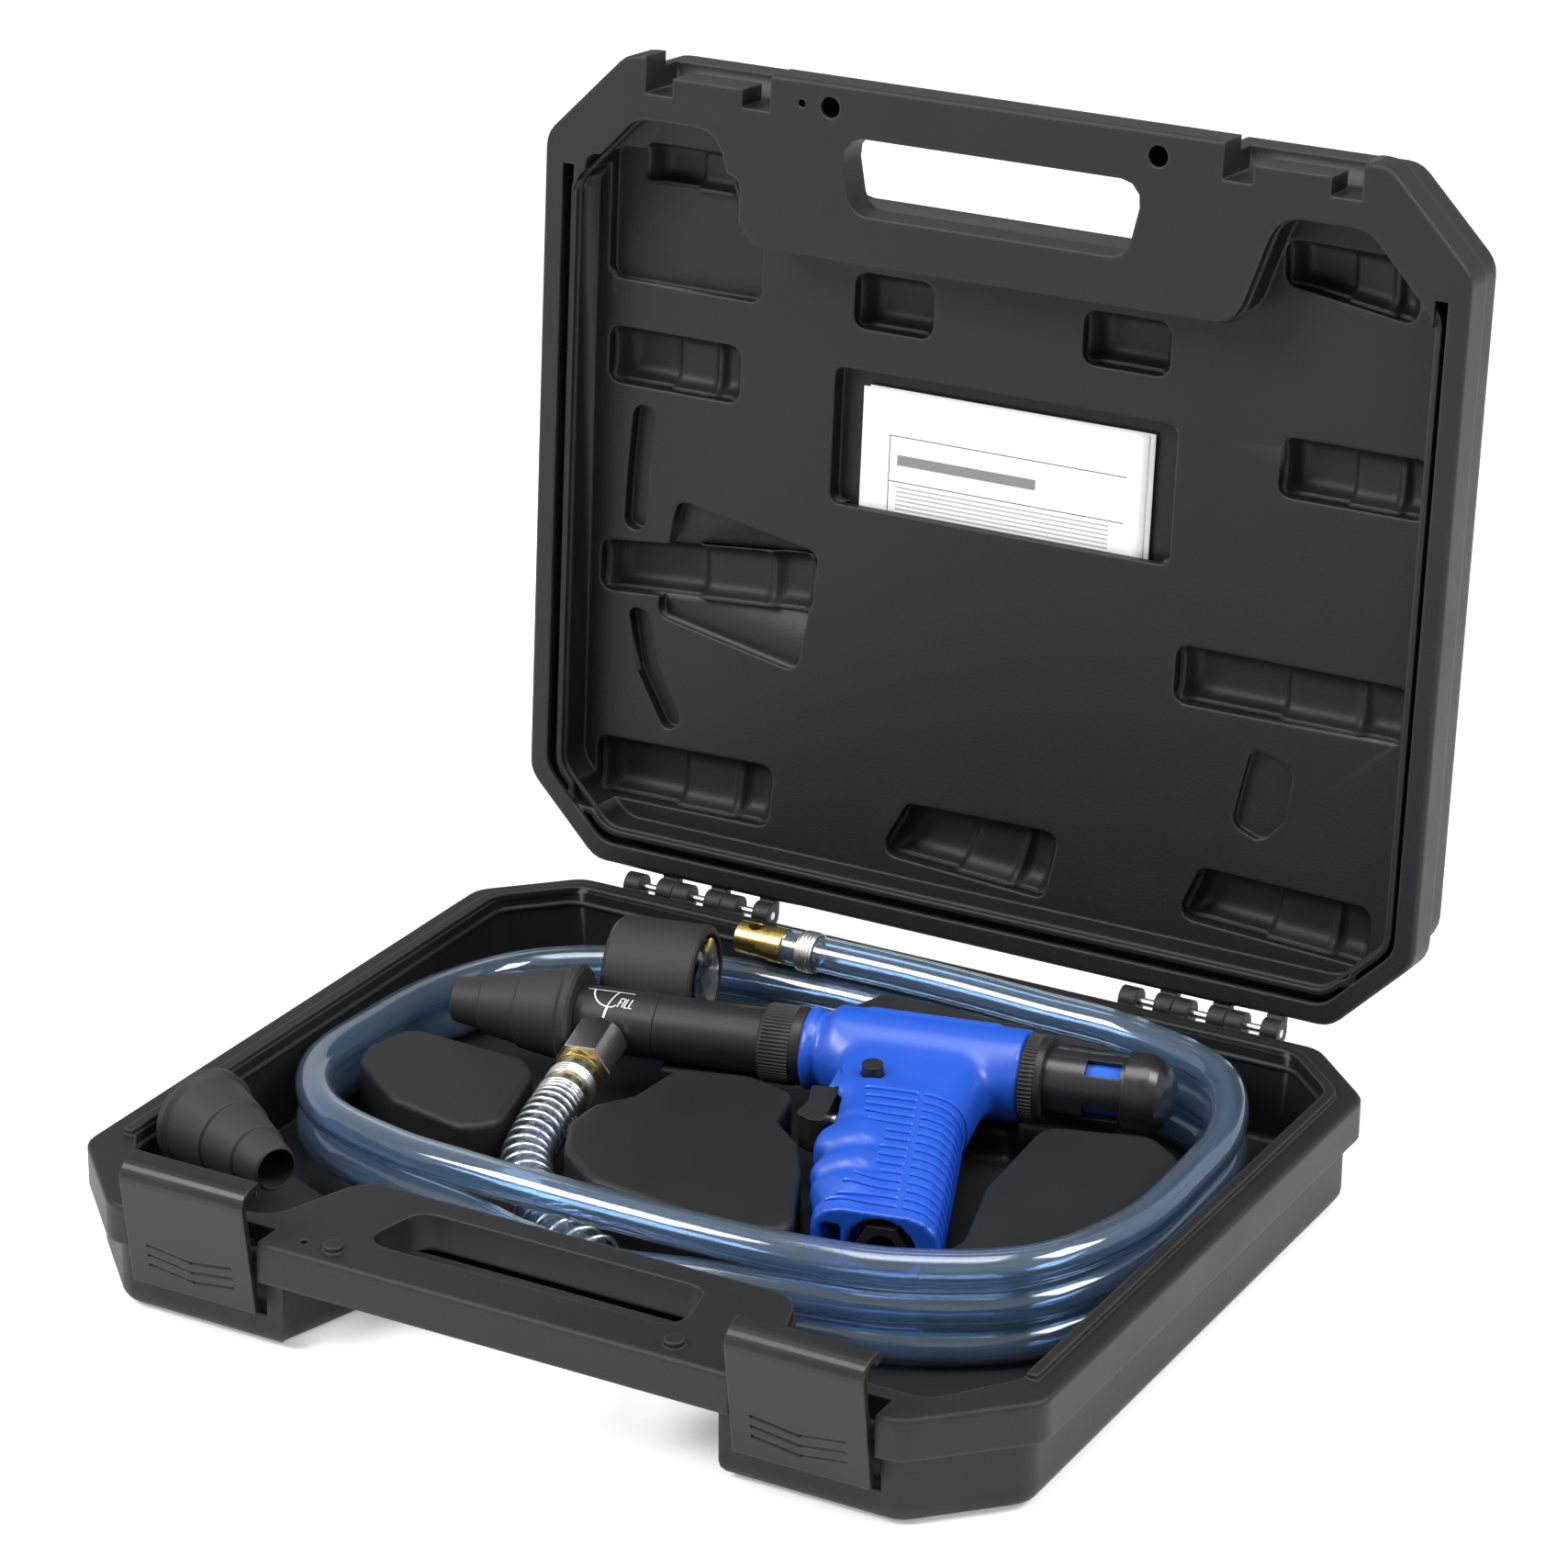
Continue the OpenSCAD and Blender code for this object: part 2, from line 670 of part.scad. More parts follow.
// Latch: front plate with pressed chevrons, hook with a lip, and two ears on the pivot bar
module latch(x) {
    plate_y = latch_front_y - latch_t;
    tip_y = -half_d + latch_step + hook_reach;
    top_z = hook_z + latch_t;
    bend = latch_t + 4;
    inner = bend - latch_t;
    bend_z = top_z - bend;
    ear_w = 12;
    ear_x = 14;
    chevron_w = 18;
    // Side outline in depth and height
    outline = concat(
        [[plate_y, latch_low], [latch_front_y, latch_low]],
        [for (a = [0 : 15 : 90]) [plate_y + bend - inner * cos(a), bend_z + inner * sin(a)]],
        [[tip_y - hook_reach, hook_z], [tip_y - hook_reach, hook_z - hook_lip], [tip_y, hook_z - hook_lip]],
        [[tip_y, top_z - 1], [tip_y - 1, top_z]],
        [for (a = [90 : -15 : 0]) [plate_y + bend - bend * cos(a), bend_z + bend * sin(a)]]
    );
    pivot = [0, latch_pivot_y, latch_pivot_z];
    color(black)
    translate([x, 0, 0] + pivot)
        rotate([latch_lean, 0, 0])
            translate(-pivot)
                difference() {
                    union() {
                        translate([-latch_w / 2, 0, 0])
                            rotate([90, 0, 90])
                                linear_extrude(latch_w)
                                    polygon(outline);
                        for (side = [-ear_x, ear_x]) {
                            translate([side - ear_w / 2, latch_pivot_y, latch_pivot_z])
                                rotate([0, 90, 0])
                                    cylinder(h = ear_w, r = latch_bar_d / 2 + 2);
                            translate([side - ear_w / 2, latch_front_y - eps, latch_pivot_z - 4])
                                cube([ear_w, latch_pivot_y - latch_front_y + eps, 8]);
                        }
                    }
                    translate([-latch_w, latch_pivot_y, latch_pivot_z])
                        rotate([0, 90, 0])
                            cylinder(h = 2 * latch_w, r = latch_bar_d / 2 + run_clear);
                    for (i = [0 : 2])
                        for (side = [-1, 1])
                            translate([0, plate_y - over, 21 + 4 * i])
                                rotate([0, -side * 8, 0])
                                    translate([side > 0 ? 0 : -chevron_w, 0, -0.7])
                                        cube([chevron_w, over + 0.7, 1.4]);
                }
}

module latch_left() { latch(-latch_x); }
module latch_right() { latch(latch_x); }

// Folded booklet in the lid's slot
module instruction_booklet() {
    mid = (booklet_window[0] + booklet_window[1]) / 2;
    low = half_d - booklet_slot_low - rest_gap;
    back = lid_z + booklet_front + booklet_room - rest_gap;
    color("white")
    lid_place()
        translate([mid - booklet_w / 2, low - booklet_h, back - booklet_t])
            cube([booklet_w, booklet_h, booklet_t]);
}

// Stepped rubber cone along the gun's axis, with its bore for the nose pipe
module cone_solid() {
    tip_r = cone_tip_d / 2;
    big_r = cone_d / 2;
    bore = nose_pipe_d / 2 + seat_clear;
    one = cone_tip + cone_l * 0.24;
    two = cone_tip + cone_l * 0.54;
    lip = fill_front - 4;
    rise = (big_r - tip_r) / 6;
    turned([
        [bore, cone_tip], [tip_r - 1, cone_tip], [tip_r, cone_tip + 1], [tip_r + rise, one],
        [tip_r + 1.6 * rise, one + 0.6], [tip_r + 3 * rise, two], [tip_r + 3.6 * rise, two + 0.6],
        [tip_r + 5 * rise, lip - 2], [big_r, lip], [big_r, fill_front - 1.5], [big_r - 1.5, fill_front - 0.2],
        [bore, fill_front - 0.2]
    ]);
}

module nose_cone() {
    color(rubber)
    gun_place()
        cone_solid();
}

module spare_cone() {
    color(rubber)
    translate(spare_at)
        rotate([0, 0, spare_yaw])
            translate([-fill_front, 0, 0])
                cone_solid();
}

// Grip with finger swells, below the barrel
module grip_solid() {
    top_d = 36;
    top_s = 32;
    lean = 15;
    hull() {
        translate([0, -top_d, 0])
            rotate([90, 0, 0])
                linear_extrude(over)
                    polygon(rounded(rect(top_s, top_s + grip_w, -grip_t / 2 + 1, grip_t / 2 - 1), 11));
        translate([0, -grip_l + over, 0])
            rotate([90, 0, 0])
                linear_extrude(over)
                    polygon(rounded(rect(top_s + lean, top_s + lean + grip_w, -grip_t / 2, grip_t / 2), 11));
    }
    for (i = [0 : 1])
        translate([top_s + 16 + 4 * i, -72 - 21 * i, -grip_t / 2 + 5])
            cylinder(h = grip_t - 10, r = 14);
}

// Blue body: barrel with flange and spigots, web, grip and every bore
module gun_body() {
    shoulder = flange_s + flange_t;
    color(blue)
    gun_place()
    difference() {
        union() {
            turned([
                [0, 0], [spigot_r, 0], [spigot_r, flange_s], [flange_d / 2, flange_s],
                [flange_d / 2, shoulder], [flange_d / 2 - 1.5, shoulder], [flange_d / 2 - 1.5, shoulder + 3],
                [barrel_r, shoulder + 7], [barrel_r, barrel_end], [rear_spigot_r, barrel_end],
                [rear_spigot_r, barrel_end + rear_spigot_l - 0.05], [0, barrel_end + rear_spigot_l - 0.05]
            ]);
            rotate([90, 0, 0])
                linear_extrude(web_low)
                    polygon(rounded(rect(web_front, web_back, -web_half, web_half), 10, 6));
            grip_solid();
        }
        along(-over, barrel_end + rear_spigot_l + over, bore_r);
        // Trigger pocket and valve bore
        translate([0, -trigger_low - trigger_play, -trigger_half - trigger_play])
            cube([
                valve_front,
                trigger_low - trigger_top + 2 * trigger_play,
                2 * (trigger_half + trigger_play)
            ]);
        translate([0, -valve_d, 0])
            along(valve_front - over, valve_back, valve_r);
        // Air passages from the inlet to the valve and from the valve to the nozzle
        down(inlet_s, valve_d, grip_l, 4);
        down(54, 0, valve_d - 5, 2.5);
        // Inlet: threaded seat and the wide pocket round the hex
        down(inlet_s, grip_l - inlet_depth - 18, grip_l, 7 + seat_clear);
        down(inlet_s, grip_l - inlet_depth, grip_l + over, inlet_r);
        // Slot beside the inlet
        translate([51, -grip_l - over, -8])
            cube([7, 25, 16]);
        // Hole for the lock button
        translate([button_at.x, button_at.y, 0.5])
            cylinder(h = barrel_r + over, r = button_r + run_clear);
    }
}

// Black tube between collar and fill body, with its clamped flange and spigot
module vacuum_tube() {
    color(black)
    gun_place()
    difference() {
        turned([
            [tube_bore_r, tube_front], [tube_r, tube_front], [tube_r, -collar_lip], [spigot_r, -collar_lip],
            [spigot_r, -0.05], [bore_r - seat_clear, -0.05], [bore_r - seat_clear, 8.4], [bore_r - 1.5, 8.4],
            [bore_r - 1.5, 11.6], [bore_r - seat_clear, 11.6], [bore_r - seat_clear, 16], [tube_bore_r, 16]
        ]);
        along(tube_front - over, tube_front + 12, tube_bore_r + eps);
    }
}

module tube_seal() {
    color(rubber)
    gun_place()
        translate([10, 0, 0])
            rotate([0, 90, 0])
                rotate_extrude()
                    translate([bore_r - 0.75, 0])
                        circle(r = 0.7, $fn = 24);
}

// Fill body: spigot, ports for gauge and hose, and the pipe that carries the cone
module fill_body() {
    spigot = tube_bore_r - seat_clear;
    pipe = nose_pipe_d / 2;
    flow = 5;
    back = tube_front + 10;
    color(black)
    gun_place()
    difference() {
        turned([
            [flow, cone_tip + 3], [pipe, cone_tip + 3], [pipe, fill_front], [tube_r, fill_front],
            [tube_r, tube_front - 0.3], [spigot, tube_front - 0.3], [spigot, tube_front + 3.4],
            [spigot - 1.5, tube_front + 3.4], [spigot - 1.5, tube_front + 6.6], [spigot, tube_front + 6.6],
            [spigot, back], [flow, back]
        ]);
        down(port_s, 0, tube_r + over, port_r + seat_clear);
        translate([gauge_s, 0, 0])
            rotate([-90, 0, 0])
                cylinder(h = tube_r + over, r = stem_r + seat_clear);
    }
}

module nose_seal() {
    color(rubber)
    gun_place()
        translate([tube_front + 5, 0, 0])
            rotate([0, 90, 0])
                rotate_extrude()
                    translate([tube_bore_r - 0.75, 0])
                        circle(r = 0.7, $fn = 24);
}

// Knurled collar: a ring with grip ridges, bored in two steps
module collar(s0, s1, r, lip0, lip1, lip_r, thread_r, ridges) {
    difference() {
        union() {
            along(s0, s1, r - 0.6);
            for (i = [0 : ridges - 1])
                rotate([360 * i / ridges, 0, 0])
                    translate([s0 + 1.5, 0, r - 1.2])
                        translate([0, -0.7, 0])
                            cube([s1 - s0 - 3, 1.4, 1.1]);
        }
        along(s0 - over, s1 + over, lip_r);
        along(lip0, lip1, thread_r);
    }
}

module front_collar() {
    color(black)
    gun_place()
        collar(collar_front, flange_s - 0.2, front_collar_d / 2, -collar_lip - 0.05, flange_s + over,
            tube_r + 0.1, spigot_r + seat_clear, 24);
}

module rear_collar() {
    color(black)
    gun_place()
        collar(barrel_end + 0.2, silencer_s + 4, rear_collar_d / 2, barrel_end - over, silencer_s + 2.05,
            silencer_r + 0.1, rear_spigot_r + seat_clear, 24);
}

// Silencer: slotted tube with a clamped flange, a porous core and a domed cap
module silencer_tube() {
    color(black)
    gun_place()
    difference() {
        turned([
            [10, silencer_s], [rear_spigot_r, silencer_s], [rear_spigot_r, silencer_s + 2],
            [silencer_r, silencer_s + 2], [silencer_r, silencer_end], [10, silencer_end]
        ]);
        for (a = [0 : 90 : 270])
            rotate([a + 25, 0, 0])
                translate([silencer_end - 20, -3.5, 0])
                    cube([13, 7, silencer_r + over]);
    }
}

module silencer_element() {
    color(blue)
    gun_place()
    difference() {
        along(silencer_s + 0.2, silencer_end - 0.2, 10 - seat_clear);
        along(silencer_s - over, silencer_end - 3, 6);
    }
}

module silencer_cap() {
    wall = 2.4;
    ring = silencer_end - 5;
    dome = cap_end - ring - 6;
    steps = 6;
    color(black)
    gun_place()
        turned(concat(
            [[silencer_r + seat_clear, ring], [cap_r, ring], [cap_r, ring + 6]],
            [for (i = [1 : steps]) [cap_r * cos(90 * i / steps), ring + 6 + dome * sin(90 * i / steps)]],
            [[0, cap_end - wall], [silencer_r - 2, silencer_end + 0.3]],
            [[silencer_r + seat_clear, silencer_end + 0.3]]
        ));
}

// Venturi nozzle in the barrel: gallery round the outside, throat widening to the rear
module venturi_nozzle() {
    seat = bore_r - seat_clear;
    color(brass)
    gun_place()
    difference() {
        turned([
            [7, 40], [seat, 40], [seat, 50], [seat - 2, 50], [seat - 2, 58], [seat, 58], [seat, 78],
            [8, 78], [4, 56], [4, 50]
        ]);
        for (a = [0 : 90 : 270])
            rotate([a + 45, 0, 0])
                translate([54, 0, 3])
                    cylinder(h = bore_r, r = 1);
    }
}

// Valve seat: bushing that guides the stem, with a cross port to the nozzle
module valve_seat() {
    color(brass)
    gun_place()
    difference() {
        translate([0, -valve_d, 0])
            turned([
                [valve_rod_r + run_clear, valve_front + 1], [valve_r - seat_clear, valve_front + 1],
                [valve_r - seat_clear, seat_back], [4, seat_back], [4, 49],
                [valve_rod_r + run_clear, 49], [valve_rod_r + run_clear, 45.5], [4, 45.5], [4, 42.5],
                [valve_rod_r + run_clear, 42.5]
            ]);
        down(54, valve_d - valve_r - over, valve_d, 2.5);
    }
}

module stem_seal() {
    color(rubber)
    gun_place()
        translate([44, -valve_d, 0])
            rotate([0, 90, 0])
                rotate_extrude()
                    translate([valve_rod_r + run_clear + 0.7, 0])
                        circle(r = 0.7, $fn = 24);
}

// Valve stem: rod fixed in the trigger, with the head that closes on the seat
module valve_stem() {
    color(zinc)
    gun_place()
        translate([0, -valve_d, 0])
            turned([
                [0, trigger_back - 5], [valve_rod_r, trigger_back - 5], [valve_rod_r, seat_back + 0.1],
                [valve_r - 0.9, seat_back + 0.1], [valve_r - 0.9, seat_back + 3],
                [valve_rod_r, seat_back + 3], [valve_rod_r, seat_back + 6], [0, seat_back + 6]
            ]);
}

// Return spring behind the valve's head, as the sleeve that its coils fill
module valve_spring() {
    color(zinc)
    gun_place()
        translate([0, -valve_d, 0])
            difference() {
                along(seat_back + 3.2, valve_back - 0.2, valve_r - 1);
                along(seat_back, valve_back + over, valve_rod_r + 0.8);
            }
}

// Trigger: finger pad with a block that slides in the pocket, bored for the stem
module trigger() {
    color(black)
    gun_place()
    difference() {
        translate([0, 0, -trigger_half])
            linear_extrude(2 * trigger_half)
                polygon(rounded([
                    [trigger_front, -trigger_low + 3], [trigger_front + 6, -trigger_low],
                    [trigger_back, -trigger_low], [trigger_back, -trigger_top],
                    [trigger_front, -trigger_top], [trigger_front + 2, -valve_d]
                ], 1.5));
        translate([0, -valve_d, 0])
            along(trigger_back - 5 - eps, trigger_back + over, valve_rod_r + seat_clear);
    }
}

module lock_button() {
    color(black)
    gun_place()
        translate([button_at.x, button_at.y, 0.5 + button_travel + 1.5])
            cylinder(h = web_half + 4 - button_travel - 2, r = button_r);
}

module button_spring() {
    color(zinc)
    gun_place()
        translate([button_at.x, button_at.y, 0.7])
            difference() {
                cylinder(h = button_travel + 1.1, r = button_r - 0.8);
                translate([0, 0, -over])
                    cylinder(h = button_travel + 4, r = button_r - 1.8);
            }
}

// Air inlet: hex with a threaded socket, screwed into the grip's base
module air_inlet() {
    hex_low = grip_l - inlet_depth + 1.6;
    color(black)
    gun_place()
    difference() {
        union() {
            down(inlet_s, hex_low, grip_l - 0.6, inlet_hex_r, 6);
            down(inlet_s, hex_low - 16, hex_low + over, 7);
        }
        down(inlet_s, grip_l - 16, grip_l + over, inlet_bore_r);
        down(inlet_s, hex_low - 16 - over, grip_l, 3);
    }
}

module inlet_washer() {
    color(zinc)
    gun_place()
    difference() {
        down(inlet_s, grip_l - inlet_depth + 0.05, grip_l - inlet_depth + 1.55, 10);
        down(inlet_s, grip_l - inlet_depth - over, grip_l, 7 + seat_clear);
    }
}

// Puts a piece on the gauge's axis
module gauge_place() {
    gun_place()
        translate([0, gauge_rise, 0])
            children();
}

// Hole for the stem through boot and can
module stem_hole(clear) {
    translate([gauge_s, -gauge_rise, 0])
        rotate([-90, 0, 0])
            cylinder(h = gauge_rise - 8, r = stem_r + clear);
}

module gauge_boot() {
    color(rubber)
    gauge_place()
    difference() {
        turned([
            [0, boot_back], [boot_r - 2, boot_back], [boot_r, boot_back + 2], [boot_r, boot_front - 1],
            [boot_r - 1, boot_front], [can_r - 1.5, boot_front], [can_r - 1.5, boot_front - 1.8],
            [can_r, boot_front - 1.8], [can_r, boot_back + 2], [0, boot_back + 2]
        ]);
        stem_hole(0.2);
    }
}

module gauge_case() {
    back = boot_back + 2.05;
    front = boot_front - 1.85;
    out = can_r - seat_clear;
    color(zinc)
    gauge_place()
    difference() {
        turned([
            [0, back], [out, back], [out, front], [out - can_t, front],
            [out - can_t, back + can_t], [0, back + can_t]
        ]);
        stem_hole(0.1);
    }
}

module gauge_dial() {
    color("white")
    gauge_place()
    difference() {
        along(dial_s - 0.6, dial_s, lens_r);
        along(dial_s - over, dial_s + over, 1.3);
    }
}

// Needle on its arbor, pointing at the stop in rest
module gauge_needle() {
    color("black")
    gauge_place()
    union() {
        along(dial_s - 7, dial_s + 1.8, 1.1);
        along(dial_s + 0.8, dial_s + 1.8, 2.2);
        rotate([225, 0, 0])
            translate([dial_s + 1, -0.5, -4])
                cube([0.6, 1, lens_r]);
    }
}

module gauge_lens() {
    back = boot_front - 3.6;
    color("lightcyan")
    gauge_place()
        turned(concat(
            [[0, back], [lens_r, back], [lens_r, boot_front - 1.9], [can_r - 1.8, boot_front - 1.9]],
            [for (i = [1 : 4]) [(can_r - 1.8) * cos(90 * i / 4), boot_front - 1.9 + 4 * sin(90 * i / 4)]]
        ));
}

// Post on the can's back that carries the needle's arbor
module gauge_movement() {
    color(brass)
    gauge_place()
    difference() {
        along(boot_back + 2.05 + can_t + 0.05, dial_s - 1, 4);
        along(dial_s - 7.5, dial_s, 1.1 + run_clear);
    }
}

module bourdon_tube() {
    color(brass)
    gauge_place()
        translate([gauge_s, 0, 0])
            rotate([270, 0, 0])
                rotate([0, 90, 0])
                    rotate_extrude(angle = 250)
                        translate([12, 0])
                            circle(r = 2, $fn = 24);
}

module gauge_stem() {
    color(brass)
    gun_place()
    difference() {
        translate([gauge_s, 6, 0])
            rotate([-90, 0, 0])
                cylinder(h = gauge_rise - 12 - 2.3 - 6, r = stem_r);
        translate([gauge_s, 0, 0])
            rotate([-90, 0, 0])
                cylinder(h = gauge_rise, r = 1.5);
    }
}

// Chrome hex nut that joins the hose to the fill body
module swivel_nut() {
    color(zinc)
    gun_place()
    difference() {
        union() {
            intersection() {
                down(port_s, swivel_d0, swivel_d1, swivel_r, 6);
                translate([port_s, -swivel_d0, 0])
                    rotate([90, 0, 0])
                        rotate_extrude()
                            polygon([[0, 0], [swivel_r - 2.5, 0], [swivel_r, 4], [swivel_r, 30], [0, 30]]);
            }
            down(port_s, 6, swivel_d0 + over, port_r);
        }
        down(port_s, 6 - over, swivel_d1 + over, 4 + seat_clear);
    }
}

// Brass hose tail with the collar that shows below the nut
module swivel_tail() {
    color(brass)
    gun_place()
    difference() {
        union() {
            down(port_s, 10, swivel_d1, 4);
            down(port_s, swivel_d1 + 0.05, ferrule_d0 - 0.05, ferrule_r + 0.7);
            down(port_s, swivel_d1, ferrule_d1 + 4, tail_r - 0.3);
        }
        down(port_s, 10 - over, ferrule_d1 + 4 + over, 2.8);
    }
}

// Plated sleeve round the hose end
module hose_ferrule() {
    color("#b9b48a")
    gun_place()
    difference() {
        down(port_s, ferrule_d0, ferrule_d1, ferrule_r);
        down(port_s, ferrule_d0 - over, ferrule_d1 + over, hose_r + 0.1);
    }
}

module crimp_band() {
    color("#d8d5cc")
    gun_place()
    difference() {
        down(port_s, ferrule_d0 + 5, ferrule_d0 + 11, ferrule_r + 1.1);
        down(port_s, ferrule_d0, ferrule_d1, ferrule_r + seat_clear);
    }
}

// Smooth step from 0 to 1
function ease(t) = let (c = max(0, min(1, t))) c * c * (3 - 2 * c);

// A point on the loops at angle a: a rounded oblong, climbing one layer per turn on the left side
function loop_point(a) =
    let (c = abs(cos(a)) / loop_reach.x, s = abs(sin(a)) / loop_reach.y)
    let (r = 1 / pow(pow(c, loop_power) + pow(s, loop_power), 1 / loop_power))
    let (corner = (a + 360) % 360 - corner_at)
    let (back_out = bulge * exp(-pow((a - bulge_at) / bulge_wide, 2)))
    let (out = back_out + corner_bulge * exp(-pow(corner / corner_wide, 2)))
    let (layer = ease((a - climb_from) / climb_over) + ease((a - 360 - climb_from) / climb_over))
    let (lift = end_lift * ease((a - end_lift_from) / end_lift_over))
    [loop_mid.x + (r + out) * cos(a), loop_mid.y + (r + out) * sin(a), layer_low + layer_step * layer + lift];

// Hose centre line: straight out of the ferrule, the lead, the loops, and straight into the end fitting
loop_count = round((loop_last - loop_first) * loop_steps / 360);
loops = [for (i = [0 : loop_count]) loop_point(loop_first + (loop_last - loop_first) * i / loop_count)];
end_dir = unit(loops[loop_count] - loops[loop_count - 1]);
hose_in = [for (d = [ferrule_d0, ferrule_d0 + 8, ferrule_d1, ferrule_d1 + 8]) gun_point([port_s, -d, 0])];
hose_out = [for (d = [8, 16]) loops[loop_count] + d * end_dir];
hose_path = concat(hose_in, hose_lead, loops, hose_out);
hose_end = hose_path[len(hose_path) - 1];

// Tangent of a path at point i, and two directions square to it
function tangent(path, i) = unit(path[min(i + 1, len(path) - 1)] - path[max(i - 1, 0)]);
function across(t) = unit(cross(t, [0, 0, 1]));
function ring(p, t, r, sides) = let (u = across(t), v = cross(u, t)) [
    for (k = [0 : sides - 1]) p + r * (u * cos(360 * k / sides) + v * sin(360 * k / sides))
];

// Triangles that join n rings of the given sides, from point number first
function skin_faces(n, sides, first, flip) = [
    for (i = [0 : n - 2])
        for (k = [0 : sides - 1])
            let (a = first + i * sides + k, b = first + i * sides + (k + 1) % sides)
            each flip
                ? [[a, b, a + sides], [b, b + sides, a + sides]]
                : [[a, a + sides, b], [b, a + sides, b + sides]]
];

// Triangles of a ring-shaped end between an outer and an inner ring
function end_faces(outer, inner, sides, flip) = [
    for (k = [0 : sides - 1])
        let (a = outer + k, b = outer + (k + 1) % sides, c = inner + k, d = inner + (k + 1) % sides)
        each flip ? [[a, c, b], [b, c, d]] : [[a, b, c], [b, d, c]]
];

// Least distance between points of a path that are further apart along it than skip
function least_gap(path, skip) = min([
    for (i = [0 : len(path) - 1 - skip])
        for (j = [i + skip : len(path) - 1]) norm(path[i] - path[j])
]);

module hose() {
    n = len(hose_path);
    m = n * hose_sides;
    bore_r = hose_bore_d / 2 + 0.2;
    outer = [for (i = [0 : n - 1]) each ring(hose_path[i], tangent(hose_path, i), hose_r, hose_sides)];
    inner = [for (i = [0 : n - 1]) each ring(hose_path[i], tangent(hose_path, i), bore_r, hose_sides)];
    echo(hose_self_gap = least_gap(hose_path, 6) - hose_d);
    echo(hose_length = ring_length(hose_path));
    color("lightsteelblue")
        polyhedron(
            points = concat(outer, inner),
            faces = concat(
                skin_faces(n, hose_sides, 0, false), skin_faces(n, hose_sides, m, true),
                end_faces(0, m, hose_sides, false),
                end_faces(m - hose_sides, 2 * m - hose_sides, hose_sides, true)
            ),
            convexity = 10
        );
}

// Length of a path
function ring_length(path, i = 1) =
    i == len(path) ? 0 : norm(path[i] - path[i - 1]) + ring_length(path, i + 1);

// Smooth curve through four points, for the spring's centre line
function curve(a, b, c, d, t) =
    0.5 * (2 * b + (c - a) * t + (2 * a - 5 * b + 4 * c - d) * t * t + (3 * b - a - 3 * c + d) * t * t * t);
spring_first = 2;
spring_last = 8;
function spring_mid(u) =
    let (x = spring_first + u * (spring_last - spring_first), i = min(floor(x), spring_last - 1))
    curve(hose_path[i - 1], hose_path[i], hose_path[i + 1], hose_path[i + 2], x - i);

// Point of the wire: the hose's line plus the curl round it
function wire_point(u) =
    let (p = spring_mid(u), t = unit(spring_mid(u + 0.002) - spring_mid(u - 0.002)))
    let (a = 360 * spring_curls * u, r = (spring_d - spring_wire_d) / 2)
    p + r * (across(t) * cos(a) + cross(across(t), t) * sin(a));

module bend_spring() {
    n = spring_curls * curl_rings;
    from = 0.03;
    to = 0.99;
    wire = [for (i = [0 : n]) wire_point(from + (to - from) * i / n)];
    m = (n + 1) * spring_sides;
    rings = [for (i = [0 : n]) each ring(wire[i], tangent(wire, i), spring_wire_d / 2, spring_sides)];
    echo(spring_self_gap = least_gap(wire, 5) - spring_wire_d);
    color(zinc)
        polyhedron(
            points = concat(rings, [wire[0], wire[n]]),
            faces = concat(
                skin_faces(n + 1, spring_sides, 0, false),
                [for (k = [0 : spring_sides - 1]) [m, k, (k + 1) % spring_sides]],
                [for (k = [0 : spring_sides - 1])
                    [m + 1, m - spring_sides + (k + 1) % spring_sides, m - spring_sides + k]]
            ),
            convexity = 10
        );
}

// Puts a piece drawn along X at the hose's far end
module end_place() {
    translate(hose_end)
        rotate([0, -asin(end_dir.z), atan2(end_dir.y, end_dir.x)])
            children();
}

module end_crimp_band() {
    color("#d8d5cc")
    end_place()
    difference() {
        along(-14, -7, hose_r + 1.2);
        along(-15, -6, hose_r + band_clear);
    }
}

// Brass strainer end with its cross hole
module end_fitting() {
    color(brass)
    end_place()
    difference() {
        union() {
            along(-14, over, tail_r - 0.3);
            along(0.05, 6, hose_r);
            along(6 - eps, 20, 6.4);
        }
        along(-15, 16, 3);
        translate([13, 0, -10])
            cylinder(h = 20, r = 3.2);
    }
}

base_shell();
lid_shell();
hinge_pin_left();
hinge_pin_right();
latch_left();
latch_right();
instruction_booklet();
spare_cone();
gun_body();
vacuum_tube();
fill_body();
nose_cone();
front_collar();
rear_collar();
silencer_tube();
silencer_element();
silencer_cap();
venturi_nozzle();
tube_seal();
nose_seal();
valve_seat();
stem_seal();
valve_stem();
valve_spring();
trigger();
lock_button();
button_spring();
air_inlet();
inlet_washer();
gauge_boot();
gauge_case();
gauge_dial();
gauge_needle();
gauge_lens();
gauge_movement();
bourdon_tube();
gauge_stem();
swivel_nut();
swivel_tail();
hose_ferrule();
crimp_band();
bend_spring();
hose();
end_crimp_band();
end_fitting();
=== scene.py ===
"""Looks of a coolant vacuum refill kit: hinged case, vacuum gun, gauge, hose and spare cone."""

import math

